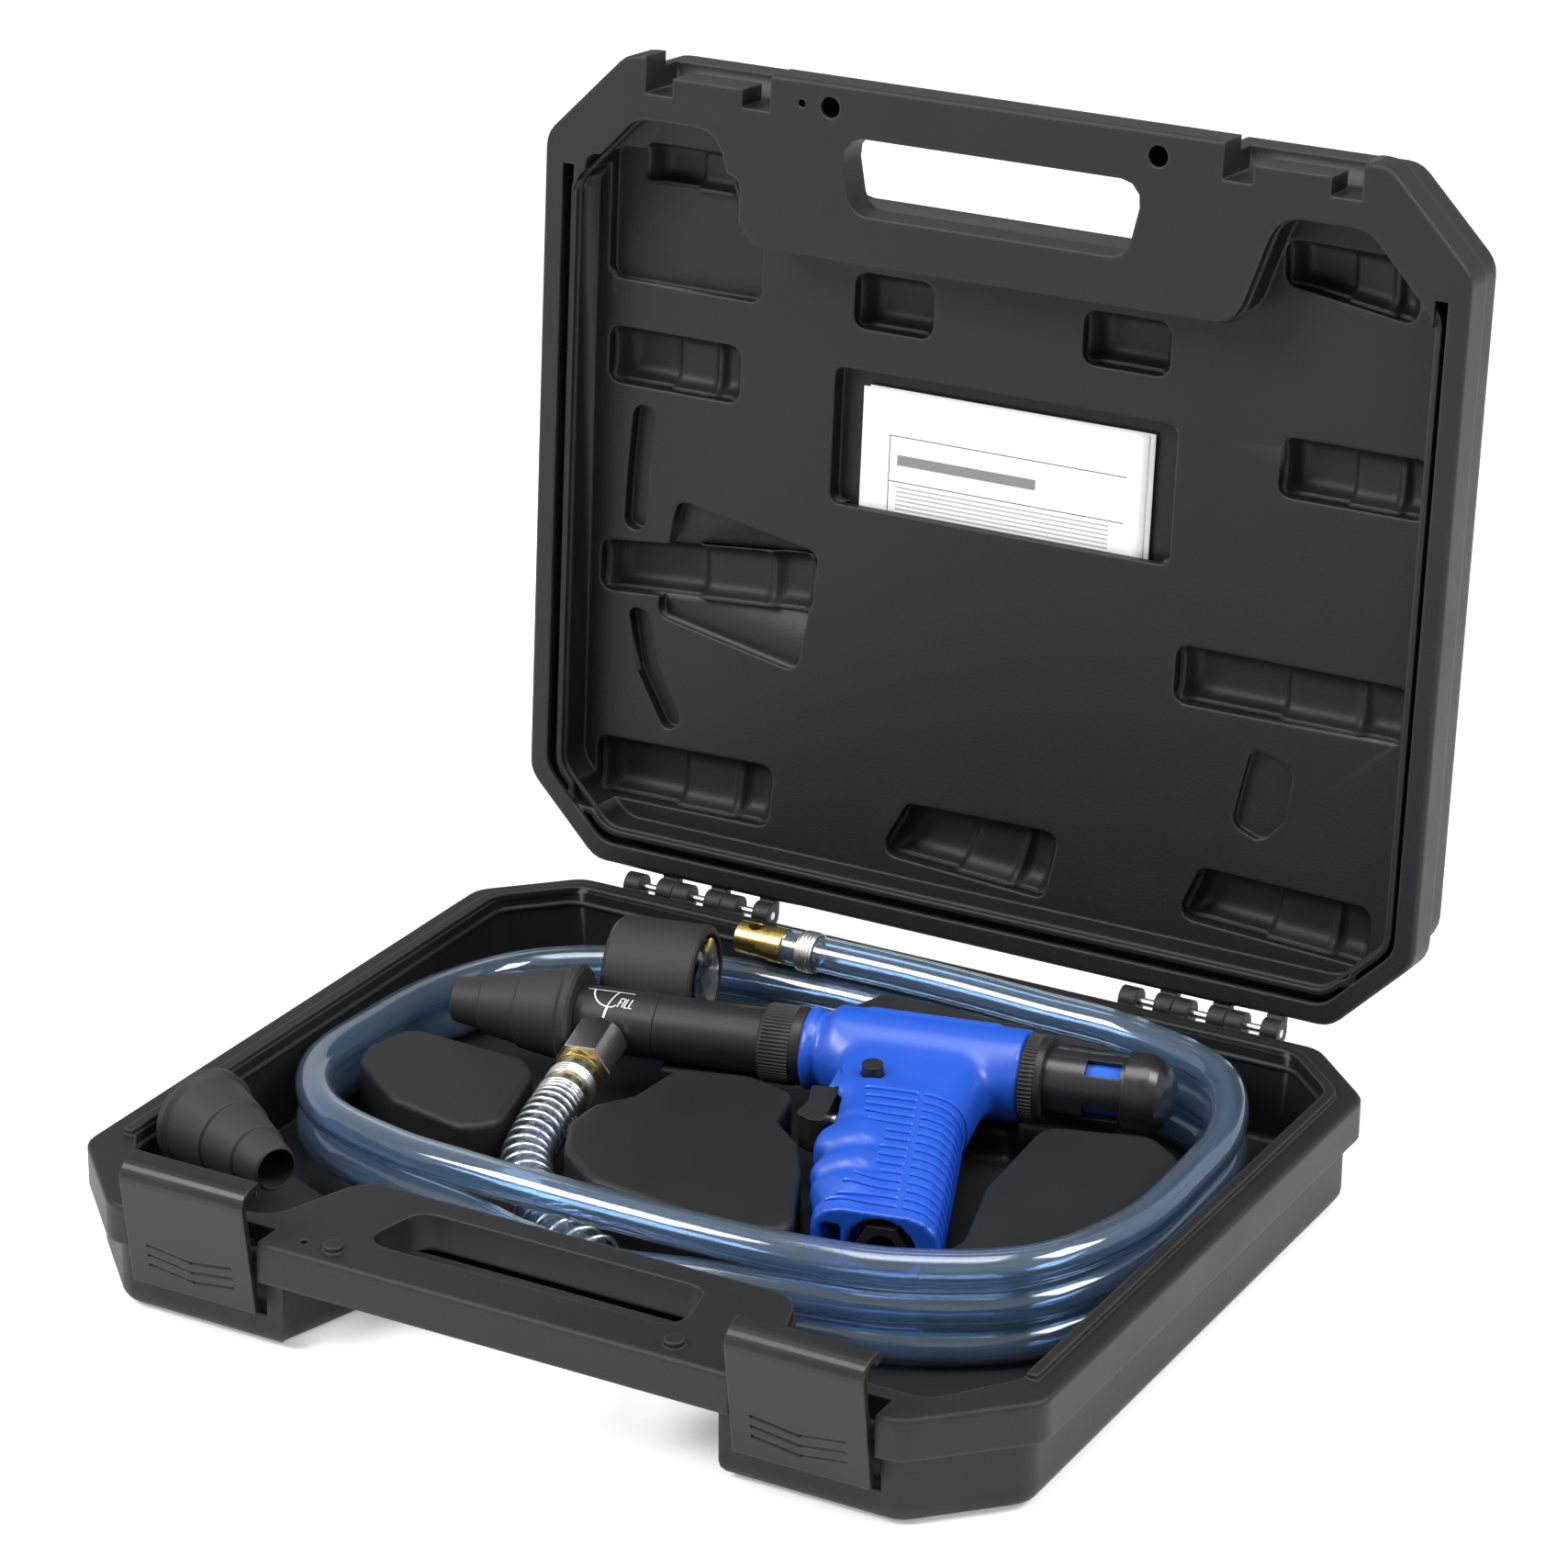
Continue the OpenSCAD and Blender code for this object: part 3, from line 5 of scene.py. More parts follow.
import bmesh
import bpy
import numpy as np
from bpy.props import FloatProperty, FloatVectorProperty, IntProperty, PointerProperty
from mathutils.bvhtree import BVHTree
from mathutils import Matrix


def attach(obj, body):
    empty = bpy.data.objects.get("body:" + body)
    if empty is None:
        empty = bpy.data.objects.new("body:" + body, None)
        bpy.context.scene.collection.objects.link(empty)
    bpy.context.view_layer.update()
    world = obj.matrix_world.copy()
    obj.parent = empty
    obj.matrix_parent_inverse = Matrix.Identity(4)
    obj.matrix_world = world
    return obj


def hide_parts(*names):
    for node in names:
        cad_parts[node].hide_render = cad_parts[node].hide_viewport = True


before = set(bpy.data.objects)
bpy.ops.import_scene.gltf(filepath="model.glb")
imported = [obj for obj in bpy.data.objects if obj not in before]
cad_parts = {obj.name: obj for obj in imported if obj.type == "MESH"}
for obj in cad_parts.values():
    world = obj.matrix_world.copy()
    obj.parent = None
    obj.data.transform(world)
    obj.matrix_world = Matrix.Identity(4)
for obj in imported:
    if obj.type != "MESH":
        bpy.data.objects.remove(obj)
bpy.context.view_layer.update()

bl_info = {
    "name": "Coolant Refill Kit",
    "version": (1, 0, 0),
    "blender": (4, 5, 0),
    "location": "View3D > Sidebar > Refill Kit",
    "description": "Builds the looks of a coolant vacuum refill kit around its solids",
    "category": "Object",
}

MM = 0.001

# Places of the gun, as in the part's solids, in millimetres
GUN_AT = np.array([-19.4, 77.4, 36.0])
GUN_YAW = math.radians(12)
GUN_TILT = math.radians(6)
FILL_FRONT = -80.3
PORT_S = FILL_FRONT + 12
GAUGE_S = FILL_FRONT + 19
GAUGE_RISE = 36.5
GAUGE_DEPTH, DIAL_INSET, DIAL_LIFT = 18, 9, 0.03
DIAL_RADIUS = 18.6
FERRULE_D0 = 41.2
FERRULE_D1 = 57.2

# Route of the hose, as in the part's solids, in millimetres and degrees; a bulge is its size, place and width
HOSE_LEAD = [[-69.5, -16, 27.5], [-64, -34, 24.5], [-51, -51, 21.5], [-30, -67, 18.6], [-2, -77.5, 17]]
LOOP_MID = (-2.5, 30)
LOOP_REACH = (165, 111)
LOOP_FIRST, LOOP_LAST, LOOP_STEPS = -72, 828, 60
FRONT_BULGE, BACK_BULGE = (14, 268, 22), (8, 38, 14)
FIRST_LAYER, LAYER_STEP, CLIMBS, CLIMB_OVER = 13.3, 14.4, (150, 510), 100
END_LIFT, END_LIFT_FROM, END_LIFT_OVER = 1.3, 770, 45
STRAIGHT_STEP = 8

# Bend spring: radius of its curls and its wire
CURL_RADIUS, WIRE_RADIUS = 9, 1.0

# Skin of the gun's body: cells of its cage, rounds of smoothing and of melting
SKIN_CELL, SMOOTH_ROUNDS, MELT_ROUNDS = 0.9, 8, 70

# Grip: creases between the finger lobes, each by its place down the grip, width and depth
LOBE_CREASES = ((62, 4.5, 1.4), (81, 3.4, 2.7), (97, 3.2, 2.7), (114, 4.0, 2.2))
LOBE_RISE = 1.6
GRIP_HALF = 14

# Ribs of the grip: their pitch, how far each reaches ahead of the bare strip, and the strip itself
RIB_FIRST, RIB_PITCH, RIB_HALF = 43, 5.4, 0.85
RIB_REACH = (22, 21, 20, 19, 17, 10, 10, 11.5, 11, 11, 9, 17, 20, 24, 27)
RIB_MIDDLE, RIB_STRIP, STRIP_HALF = 23.5, 8, 1.1

# Knurls: how many round a collar, points for each, and their depth
KNURLS, KNURL_POINTS, KNURL_DEPTH = 64, 8, 0.55

# Shut lid to open lid
HINGE = np.array([0, 168.0, 41.0])
LID_OPEN = math.radians(94)

# Case, as in the part's solids, in millimetres: half sizes, rims and depths
HALF_W, HALF_D, BASE_H, LID_Z = 190, 162, 42, 42.3
RIM_W, FRONT_CHAMFER, BACK_CHAMFER = 13, 35, 31
POCKET_DEPTH, LID_TOP = 34, 84.3

# Hollows of both shells: their front, half the width of the step behind the handle, and the wall
BASE_HOLLOW = (-104, 86, 18)
LID_HOLLOW = (-96, 101, 24)
BEAD_RADIUS, BEAD_SIDES = 1.2, 8

# Rounded edges of the case: outside, floor and rim, and how near a point lies to the outline it is on
OUTER_EASE, FLOOR_EASE, RIM_EASE, ON_OUTLINE = 6, 2.4, 1.6, 0.5

# Where the cone's cradle runs into the base's wall, with no room to round its edges: place and reach
TIGHT_CORNER = (-175.5, -117, 4.5)

# Accessory pockets of the lid: four corners across the lid and up from the hinge
POCKETS = (
    ((-159, 270), (-109, 270), (-109, 287), (-159, 287)),
    ((-171, 190), (-112, 190), (-112, 213), (-171, 213)),
    ((-64, 228), (-30, 228), (-30, 250), (-64, 250)),
    ((32, 229), (68, 229), (68, 250), (32, 250)),
    ((-172, 105), (-76, 112), (-76, 136), (-172, 126)),
    ((-171, 20), (-92, 21), (-90, 47), (-171, 45)),
    ((-43, 21), (30, 17), (35, 45), (-31, 44)),
    ((85, 22), (165, 18), (164, 42), (94, 44)),
    ((111, 271), (164, 263), (163, 287), (110, 288)),
    ((114, 192), (173, 192), (173, 215), (114, 215)),
    ((78, 106), (172, 106), (172, 129), (78, 129)),
)

# Booklet in the shut lid: size and corner of a leaf, and how far each leaf is shifted across, along and back
LEAF_WIDE, LEAF_TALL = 120, 103
LEAF_LEFT, LEAF_LOW, LEAF_BACK = -60.5, 60.1, 67.4
LEAVES = ((0, 0, 0.35), (2.3, -0.6, 1.1), (1.2, 0.6, 1.9))
THIN_WALL = 0.3


def gun_axes():
    """The gun's own directions: along the barrel to the rear, away from the grip, and to its upper side."""
    cy, sy, ct, st = math.cos(GUN_YAW), math.sin(GUN_YAW), math.cos(GUN_TILT), math.sin(GUN_TILT)
    return np.array([[cy, sy, 0], [-sy * ct, cy * ct, st], [sy * st, -cy * st, ct]])


def gun_world(points):
    """Gun frame to world: the gun's place plus each coordinate times its direction, in metres."""
    return (GUN_AT + np.asarray(points, float) @ gun_axes()) * MM


def gun_local(points):
    """World metres to the gun's own millimetres, by the transposed directions."""
    return (np.asarray(points, float) / MM - GUN_AT) @ gun_axes().T


def hinge_turn(points, angle):
    """Points turned about the hinge line: y' = y cos - z sin and z' = y sin + z cos, from the line."""
    p = points - HINGE
    c, s = math.cos(angle), math.sin(angle)
    return np.stack([p[..., 0], p[..., 1] * c - p[..., 2] * s, p[..., 1] * s + p[..., 2] * c], -1) + HINGE


def lid_shut(points):
    """Open lid in metres to the shut lid's millimetres: turned forward by the open angle."""
    return hinge_turn(np.asarray(points, float) / MM, LID_OPEN)


def lid_world(points):
    """Shut lid in millimetres to the open lid in metres: turned back by the open angle."""
    return hinge_turn(np.asarray(points, float), -LID_OPEN) * MM


def ease(t):
    """Smooth step: 3t^2 - 2t^3 on t held between 0 and 1."""
    t = np.clip(t, 0, 1)
    return t * t * (3 - 2 * t)


def band(x, low, high, soft):
    """1 between low and high, falling to 0 over the soft width on both sides."""
    return ease((x - low) / soft + 0.5) * ease((high - x) / soft + 0.5)


def swell(x, size, at, wide):
    """Bell: size times e^(-((x - at) / wide)^2)."""
    return size * np.exp(-((x - at) / wide) ** 2)


def circle(sides):
    """Angles of even steps round a full circle, without its end."""
    return np.linspace(0, 2 * np.pi, sides, endpoint=False)


def unit(rows):
    """Each row divided by its length."""
    return rows / np.linalg.norm(rows, axis=-1, keepdims=True)


def resampled(line, count):
    """Points at even steps of a line's own numbering, straight between its points."""
    p = np.asarray(line, float)
    t = np.linspace(0, len(p) - 1, count)
    return np.stack([np.interp(t, np.arange(len(p)), p[:, k]) for k in range(p.shape[1])], 1)


def hose_route():
    """Hose centre line in millimetres: straight out of the ferrule, the lead, then a rounded oblong.

    The oblong's radius is 1 / ((|cos a| / A)^3 + (|sin a| / B)^3)^(1/3), with two soft outward bulges.
    It climbs one hose layer per turn on the left side, and its last stretch is straight.
    """
    down = (FERRULE_D0, FERRULE_D0 + STRAIGHT_STEP, FERRULE_D1, FERRULE_D1 + STRAIGHT_STEP)
    start = [GUN_AT + np.array([PORT_S, -d, 0]) @ gun_axes() for d in down]
    a = np.linspace(LOOP_FIRST, LOOP_LAST, LOOP_STEPS + 1)
    r = np.radians(a)
    wide, deep = np.abs(np.cos(r)) / LOOP_REACH[0], np.abs(np.sin(r)) / LOOP_REACH[1]
    radius = (wide ** 3 + deep ** 3) ** (-1 / 3) + swell(a, *FRONT_BULGE) + swell(a % 360, *BACK_BULGE)
    rise = FIRST_LAYER + LAYER_STEP * sum(ease((a - at) / CLIMB_OVER) for at in CLIMBS)
    rise += END_LIFT * ease((a - END_LIFT_FROM) / END_LIFT_OVER)
    loops = np.stack([LOOP_MID[0] + radius * np.cos(r), LOOP_MID[1] + radius * np.sin(r), rise], 1)
    ahead = STRAIGHT_STEP * unit(loops[-1] - loops[-2])
    return np.concatenate([start, HOSE_LEAD, loops, [loops[-1] + ahead, loops[-1] + 2 * ahead]])


def smooth_line(points, per_span):
    """Curve through every point.

    On each span it is the cubic whose end slopes are half the chord of the neighbours.
    """
    p = np.concatenate([[2 * points[0] - points[1]], points, [2 * points[-1] - points[-2]]])
    t = np.linspace(0, 1, per_span, endpoint=False)[None, :, None]
    a, b, c, d = (p[i:len(p) - 3 + i][:, None] for i in range(4))
    line = 2 * b + (c - a) * t + (2 * a - 5 * b + 4 * c - d) * t ** 2 + (3 * b - a - 3 * c + d) * t ** 3
    return np.concatenate([0.5 * line.reshape(-1, 3), points[-1:]])


def line_sides(line):
    """Two directions square to a line: across it on the level, and the one square to that and the line."""
    along = unit(np.gradient(line, axis=0))
    side = unit(np.cross(along, [0, 0, 1.0]))
    return side, np.cross(side, along)


def tube_rings(line, radius, sides):
    """Rings of a tube: line + radius * (side cos q + up sin q), for q round the circle."""
    side, up = line_sides(line)
    q = circle(sides)[None, :, None]
    return line[:, None] + radius * (side[:, None] * np.cos(q) + up[:, None] * np.sin(q))


def rounded_line(points, radius, steps=8):
    """Closed outline with its corners turned into arcs.

    A corner becomes the quadratic curve between the points where a circle of the radius would touch both
    of its sides.
    """
    p = np.asarray(points, float)
    back, ahead = np.roll(p, 1, 0) - p, np.roll(p, -1, 0) - p
    long_b, long_a = np.linalg.norm(back, axis=1), np.linalg.norm(ahead, axis=1)
    back, ahead = back / long_b[:, None], ahead / long_a[:, None]
    half = np.arccos(np.clip((back * ahead).sum(1), -1, 1)) / 2
    cut = np.minimum(radius / np.tan(half), 0.45 * np.minimum(long_b, long_a))[:, None]
    t = np.linspace(0, 1, steps)[None, :, None]
    first, last = (p + cut * back)[:, None], (p + cut * ahead)[:, None]
    return ((1 - t) ** 2 * first + 2 * t * (1 - t) * p[:, None] + t ** 2 * last).reshape(-1, 2)


def hollow_outline(front, half_mid, wall):
    """Outline of a shell's hollow: the rim's inside, stepping back behind the handle."""
    right = [(half_mid, front), (half_mid + 14, -HALF_D + wall), (HALF_W - wall - 16, -HALF_D + wall),
             (HALF_W - RIM_W, -HALF_D + wall + 28), (HALF_W - RIM_W, HALF_D - BACK_CHAMFER - 4),
             (HALF_W - BACK_CHAMFER - 4, HALF_D - RIM_W)]
    return right + [(-x, y) for x, y in reversed(right)]


def closed_ridge(outline, z, radius, sides):
    """Bead round a closed outline at one height: outline + radius * (outward cos q, up sin q)."""
    along = unit(np.roll(outline, -1, 0) - np.roll(outline, 1, 0))
    q = circle(sides)
    out = np.stack([along[:, 1], -along[:, 0]], 1)[:, None] * np.cos(q)[None, :, None] * radius
    rise = np.broadcast_to(z + radius * np.sin(q), (len(outline), sides))
    return np.concatenate([outline[:, None] + out, rise[..., None]], 2)


def grid_faces(rows, columns, first=0, closed=True, flip=False):
    """Quads between neighbouring rows of points, with the last column joined to the first where closed."""
    i = np.arange(rows - 1)[:, None]
    j = np.arange(columns if closed else columns - 1)[None, :]
    k = (j + 1) % columns
    near, far = i * columns, (i + 1) * columns
    quads = np.stack(np.broadcast_arrays(near + j, near + k, far + k, far + j), -1).reshape(-1, 4) + first
    return quads[:, ::-1] if flip else quads


def ring_faces(rows, columns):
    """Quads of closed rows of points whose last row joins the first."""
    return grid_faces(rows + 1, columns) % (rows * columns)


def read(items, key, wide=1, kind=float):
    """Values of all items in a mesh's list, read in one go, with so many numbers for each."""
    values = np.empty(len(items) * wide, kind)
    items.foreach_get(key, values)
    return values.reshape(-1, wide) if wide > 1 else values


def smooth(mesh):
    """Shades every face of a mesh smoothly."""
    mesh.polygons.foreach_set("use_smooth", np.full(len(mesh.polygons), True))


def put_object(name, mesh):
    """Object at the origin that holds a mesh."""
    thing = bpy.data.objects.new(name, mesh)
    bpy.context.collection.objects.link(thing)
    return thing


def put_mesh(name, points, faces, uv=None):
    """Smooth object at the origin from arrays of points and faces, with its place in its mesh."""
    mesh = bpy.data.meshes.new(name)
    mesh.from_pydata(np.asarray(points, float).tolist(), [], [list(map(int, f)) for f in faces])
    mesh.update()
    if uv is not None:
        layer = mesh.uv_layers.new(name="UVMap")
        corner = read(mesh.loops, "vertex_index", kind=np.int32)
        layer.data.foreach_set("uv", np.asarray(uv, np.float32)[corner].ravel())
    smooth(mesh)
    return put_object(name, mesh)


def turned_piece(name, profile, sides, place):
    """Solid of revolution: each profile point, a radius and a distance, goes round the axis.

    The points are the distance, radius cos q and radius sin q, and place maps them to the world.
    """
    p = np.asarray(profile, float)
    q = circle(sides)
    ring = np.stack(np.broadcast_arrays(p[:, 1:2], p[:, :1] * np.cos(q), p[:, :1] * np.sin(q)), -1)
    return put_mesh(name, place(ring.reshape(-1, 3)), ring_faces(len(p), sides))


def settle(piece, material, body, node=None):
    """Gives a new piece its finish, the body it rides on and the solid it stands for."""
    piece.data.materials.clear()
    piece.data.materials.append(material)
    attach(piece, body)
    if node:
        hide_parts(node)


def dress(material, *nodes):
    """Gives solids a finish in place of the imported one."""
    for node in nodes:
        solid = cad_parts[node]
        solid.data.materials.clear()
        solid.data.materials.append(material)


class Wire:
    """A socket in a shader, with arithmetic that adds Math nodes."""

    def __init__(self, finish, socket):
        self.finish, self.socket = finish, socket

    def maths(self, operation, *values):
        """A Math node of one operation on wires or numbers."""
        return self.finish.node("ShaderNodeMath", {"operation": operation}, *values)

    def __add__(self, other):
        return self.maths("ADD", self, other)

    def __sub__(self, other):
        return self.maths("SUBTRACT", self, other)

    def __rsub__(self, other):
        return self.maths("SUBTRACT", other, self)

    def __mul__(self, other):
        return self.maths("MULTIPLY", self, other)

    __radd__, __rmul__ = __add__, __mul__

    def __gt__(self, other):
        return self.maths("GREATER_THAN", self, other)

    def __lt__(self, other):
        return self.maths("LESS_THAN", self, other)

    def within(self, low, high):
        """1 between two numbers, else 0."""
        return (self > low) * (self < high)

    def fraction(self):
        """What is left over a whole number."""
        return self.maths("FRACT", self)

    def clamp(self):
        """The value held between 0 and 1."""
        return self.finish.node("ShaderNodeClamp", {}, self)


class Finish:
    """One procedural material: a Principled shader and the nodes that feed it."""

    def __init__(self, name, **constants):
        self.material = bpy.data.materials.new(name)
        self.material.use_nodes = True
        self.tree = self.material.node_tree
        self.shader = self.tree.nodes["Principled BSDF"]
        for key, value in constants.items():
            self.shader.inputs[key.replace("_", " ").title().replace("Ior", "IOR")].default_value = value
        self.place = self.node("ShaderNodeTexCoord", {}, out="Object")

    def node(self, kind, settings, *values, out=0, sockets=(), **named):
        """A node of a kind, its settings first, then the values or links of its sockets."""
        made = self.tree.nodes.new(kind)
        for key, value in settings.items():
            setattr(made, key, value)
        pairs = [*enumerate(values), *sockets, *((k.replace("_", " "), v) for k, v in named.items())]
        for key, value in pairs:
            if isinstance(value, Wire):
                self.tree.links.new(value.socket, made.inputs[key])
            else:
                made.inputs[key].default_value = value
        return Wire(self, made.outputs[out])

    def noise(self, scale, detail=4.0, rough=0.55):
        """Cloudy noise from 0 to 1 on the piece's own coordinates."""
        return self.node("ShaderNodeTexNoise", {}, Vector=self.place, Scale=scale, Detail=detail,
                         Roughness=rough)

    def uv(self):
        """The two coordinates of the piece's own map."""
        both = self.node("ShaderNodeUVMap", {"uv_map": "UVMap"})
        return [self.node("ShaderNodeSeparateXYZ", {}, both, out=axis) for axis in "XY"]

    def mix(self, factor, a, b):
        """Colour between two colours by a factor, on the Mix node's colour sockets."""
        a, b = (v if isinstance(v, Wire) else (*v, 1) for v in (a, b))
        return self.node("ShaderNodeMix", {"data_type": "RGBA"}, out=2, sockets=((0, factor), (6, a), (7, b)))

    def edges(self, radius):
        """Rounded normal near edges, and a mask of those edges from how far it leans from the true normal."""
        soft = self.node("ShaderNodeBevel", {"samples": 6}, Radius=radius)
        true = self.node("ShaderNodeNewGeometry", {}, out="True Normal")
        lean = self.node("ShaderNodeVectorMath", {"operation": "DOT_PRODUCT"}, soft, true, out="Value")
        return soft, ((1 - lean) * 4).clamp()

    def bump(self, height, strength, distance, normal=None):
        """Normal bent by a height, over another normal where one is given."""
        named = {"Height": height, "Strength": strength, "Distance": distance}
        if normal is not None:
            named["Normal"] = normal
        return self.node("ShaderNodeBump", {}, **named)

    def feed(self, **named):
        """Links wires to the shader's sockets and gives the material."""
        for key, value in named.items():
            self.tree.links.new(value.socket, self.shader.inputs[key.replace("_", " ")])
        return self.material


def settings():
    return bpy.context.scene.refill_kit


def moulded(name, colour, pale, grain, rough, round_mm, grain_depth=0.00012, highlight_patchiness=0.5, shine=0.32):
    """Grained moulded plastic with soft edges, its edges and corners lightened by a painted highlight."""
    f = Finish(name, roughness=rough, specular_ior_level=shine)
    soft, edge = f.edges(round_mm * MM)
    cloud = f.noise(28, 5)
    fine = f.noise(grain, 3, 0.6)
    cells = f.node("ShaderNodeTexVoronoi", {"feature": "F1"}, Vector=f.place, Scale=grain * 0.7)
    # Painted highlight: edges and corners mixed toward the paler colour, stronger in cloudy patches
    edge_highlight = (edge * (0.35 + cloud * highlight_patchiness)).clamp()
    tone = f.mix(cloud, [c * 0.82 for c in colour], [c * 1.2 for c in colour])
    skin = f.bump(fine + cells * 0.6, 0.55, grain_depth, soft)
    gloss = rough - 0.1 + cloud * 0.14 + fine * 0.08
    return f.feed(Base_Color=f.mix(edge_highlight, tone, pale), Roughness=gloss, Normal=skin)


def metal(name, colour, dark, rough, round_mm=0.4):
    """Metal with fine turning marks, tarnish in patches and a painted highlight on its edges."""
    f = Finish(name, metallic=1.0, roughness=rough)
    soft, edge = f.edges(round_mm * MM)
    patch = f.noise(90, 5)
    marks = f.noise(900, 2, 0.5)
    tone = f.mix((patch * 1.3 - 0.2).clamp(), colour, dark)
    # Painted highlight: edges mixed toward a brighter colour
    shade = f.mix(edge * 0.5, tone, [min(1, c * 1.25) for c in colour])
    gloss = rough - 0.06 + marks * 0.12 + patch * 0.06
    return f.feed(Base_Color=shade, Roughness=gloss, Normal=f.bump(marks, 0.15, 0.00006, soft))


class RefillKitSettings(bpy.types.PropertyGroup):
    """Colours and sizes a user would change."""
    case_colour: FloatVectorProperty(
        name="Case", description="Colour of the case's plastic", subtype="COLOR", size=3, min=0, max=1,
        default=(0.0075, 0.0077, 0.0083))
    gun_colour: FloatVectorProperty(
        name="Gun", description="Colour of the gun's body", subtype="COLOR", size=3, min=0, max=1,
        default=(0.009, 0.068, 0.43))
    hose_tint: FloatVectorProperty(
        name="Hose", description="Tint of the clear hose", subtype="COLOR", size=3, min=0, max=1,
        default=(0.56, 0.745, 0.95))
    hose_diameter: FloatProperty(
        name="Hose diameter", description="Outer diameter of the hose", unit="LENGTH",
        min=0.012, max=0.015, default=0.014)
    hose_bore: FloatProperty(
        name="Hose bore", description="Inner diameter of the hose", unit="LENGTH",
        min=0.008, max=0.011, default=0.0104)
    spring_curls: IntProperty(
        name="Spring curls", description="Curls in the bend spring", min=16, max=26, default=22)
    rib_depth: FloatProperty(
        name="Rib depth", description="Depth of the grip's ribs", unit="LENGTH",
        min=0, max=0.0012, default=0.0009)


def outer_gap(x, y):
    """Distance inside the case's outline: the least of its sides' and chamfers' distances."""
    front = (HALF_W + HALF_D - FRONT_CHAMFER - np.abs(x) + y) / math.sqrt(2)
    back = (HALF_W + HALF_D - BACK_CHAMFER - np.abs(x) - y) / math.sqrt(2)
    return np.minimum.reduce([HALF_W - np.abs(x), HALF_D - np.abs(y), front, back])


def base_edges(points):
    """Widths of the base's rounded edges: feet and underside, islands and floor, rim and band."""
    x, y, z = points.T / MM
    inside = (np.abs(x) < HALF_W - RIM_W + 1) & (y < HALF_D - RIM_W + 1) & (y > -HALF_D + 16)
    rim = (outer_gap(x, y) < ON_OUTLINE) & (np.abs(z - BASE_H) < 0.1)
    tight = np.hypot(x - TIGHT_CORNER[0], y - TIGHT_CORNER[1]) < TIGHT_CORNER[2]
    width = np.where(z < 0.3, OUTER_EASE, 0)
    width = np.where(inside & (z > 3) & (z < BASE_H - 1), FLOOR_EASE, width)
    return np.where(tight, 0, np.where(rim, RIM_EASE, width))


def lid_edges(points):
    """Widths of the lid's rounded edges: its back and its rim."""
    x, y, z = lid_shut(points).T
    rim = (outer_gap(x, y) < ON_OUTLINE) & (np.abs(z - LID_Z) < 0.1)
    return np.where(z > LID_TOP - 0.3, OUTER_EASE, np.where(rim, RIM_EASE, 0))


def merged_mesh(node, name, gap, level=None):
    """Copy of a solid's triangles with points inside a gap merged, and faces within a level angle joined."""
    cage = bmesh.new()
    cage.from_mesh(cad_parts[node].data)
    bmesh.ops.remove_doubles(cage, verts=cage.verts, dist=gap)
    if level is not None:
        bmesh.ops.dissolve_limit(cage, angle_limit=level, verts=cage.verts, edges=cage.edges)
    mesh = bpy.data.meshes.new(name)
    cage.to_mesh(mesh)
    cage.free()
    return mesh


def eased_copy(node, name, width_of):
    """Copy of a solid with real rounded edges.

    Its triangles are merged and flat neighbours joined. Edges that turn by more than 40 degrees are rounded
    by the width that width_of gives. They are found from the sum of their two faces' normals, whose length
    is 2 cos(angle / 2).
    """
    mesh = merged_mesh(node, name, 5e-6, math.radians(0.5))
    points = read(mesh.vertices, "co", 3)
    ends = read(mesh.edges, "vertices", 2, np.int32)
    edge = read(mesh.loops, "edge_index", kind=np.int32)
    sides = read(mesh.polygons, "loop_total", kind=np.int32)
    normals = np.repeat(read(mesh.polygons, "normal", 3), sides, axis=0)
    total = np.stack([np.bincount(edge, normals[:, k], len(ends)) for k in range(3)], 1)
    sharp = (np.linalg.norm(total, axis=1) < 2 * math.cos(math.radians(20))) & (np.bincount(edge) == 2)
    a, b = points[ends].transpose(1, 0, 2)
    widths = np.where(sharp, np.minimum(width_of(a), width_of(b)), 0)
    most = widths.max()
    mesh.attributes.new("bevel_weight_edge", "FLOAT", "EDGE").data.foreach_set("value", widths / most)
    smooth(mesh)
    mesh.set_sharp_from_angle(angle=math.radians(35))
    thing = put_object(name, mesh)
    ease_edges = thing.modifiers.new("eased", "BEVEL")
    ease_edges.limit_method, ease_edges.width, ease_edges.segments = "WEIGHT", most * MM, 4
    ease_edges.use_clamp_overlap, ease_edges.loop_slide = False, True
    level_faces = thing.modifiers.new("level", "WEIGHTED_NORMAL")
    level_faces.keep_sharp, level_faces.weight = True, 90
    return thing


class REFILL_OT_case(bpy.types.Operator):
    """Finishes the case: grained shells, satin latches and bright hinge pins"""
    bl_idname = "refill_kit.case"
    bl_label = "Case"

    def execute(self, context):
        colour = list(settings().case_colour)
        # The paler greys given to the shells and latches are painted highlights on their edges
        grain = moulded("case_grain", colour, [0.06, 0.061, 0.064], 1500, 0.5, 1.6)
        for node, name, body, width_of in (("base_shell", "base_moulding", "base", base_edges),
                                           ("lid_shell", "lid_moulding", "lid", lid_edges)):
            settle(eased_copy(node, name, width_of), grain, body, node)
        satin = [c * 1.05 for c in colour]
        dress(moulded("latch_satin", satin, [0.06, 0.06, 0.065], 2600, 0.36, 0.9, 0.00003, 0.2),
              "latch_left", "latch_right")
        dress(metal("pin_wire", [0.75, 0.75, 0.74], [0.5, 0.5, 0.5], 0.25),
              "hinge_pin_left", "hinge_pin_right")
        return {"FINISHED"}


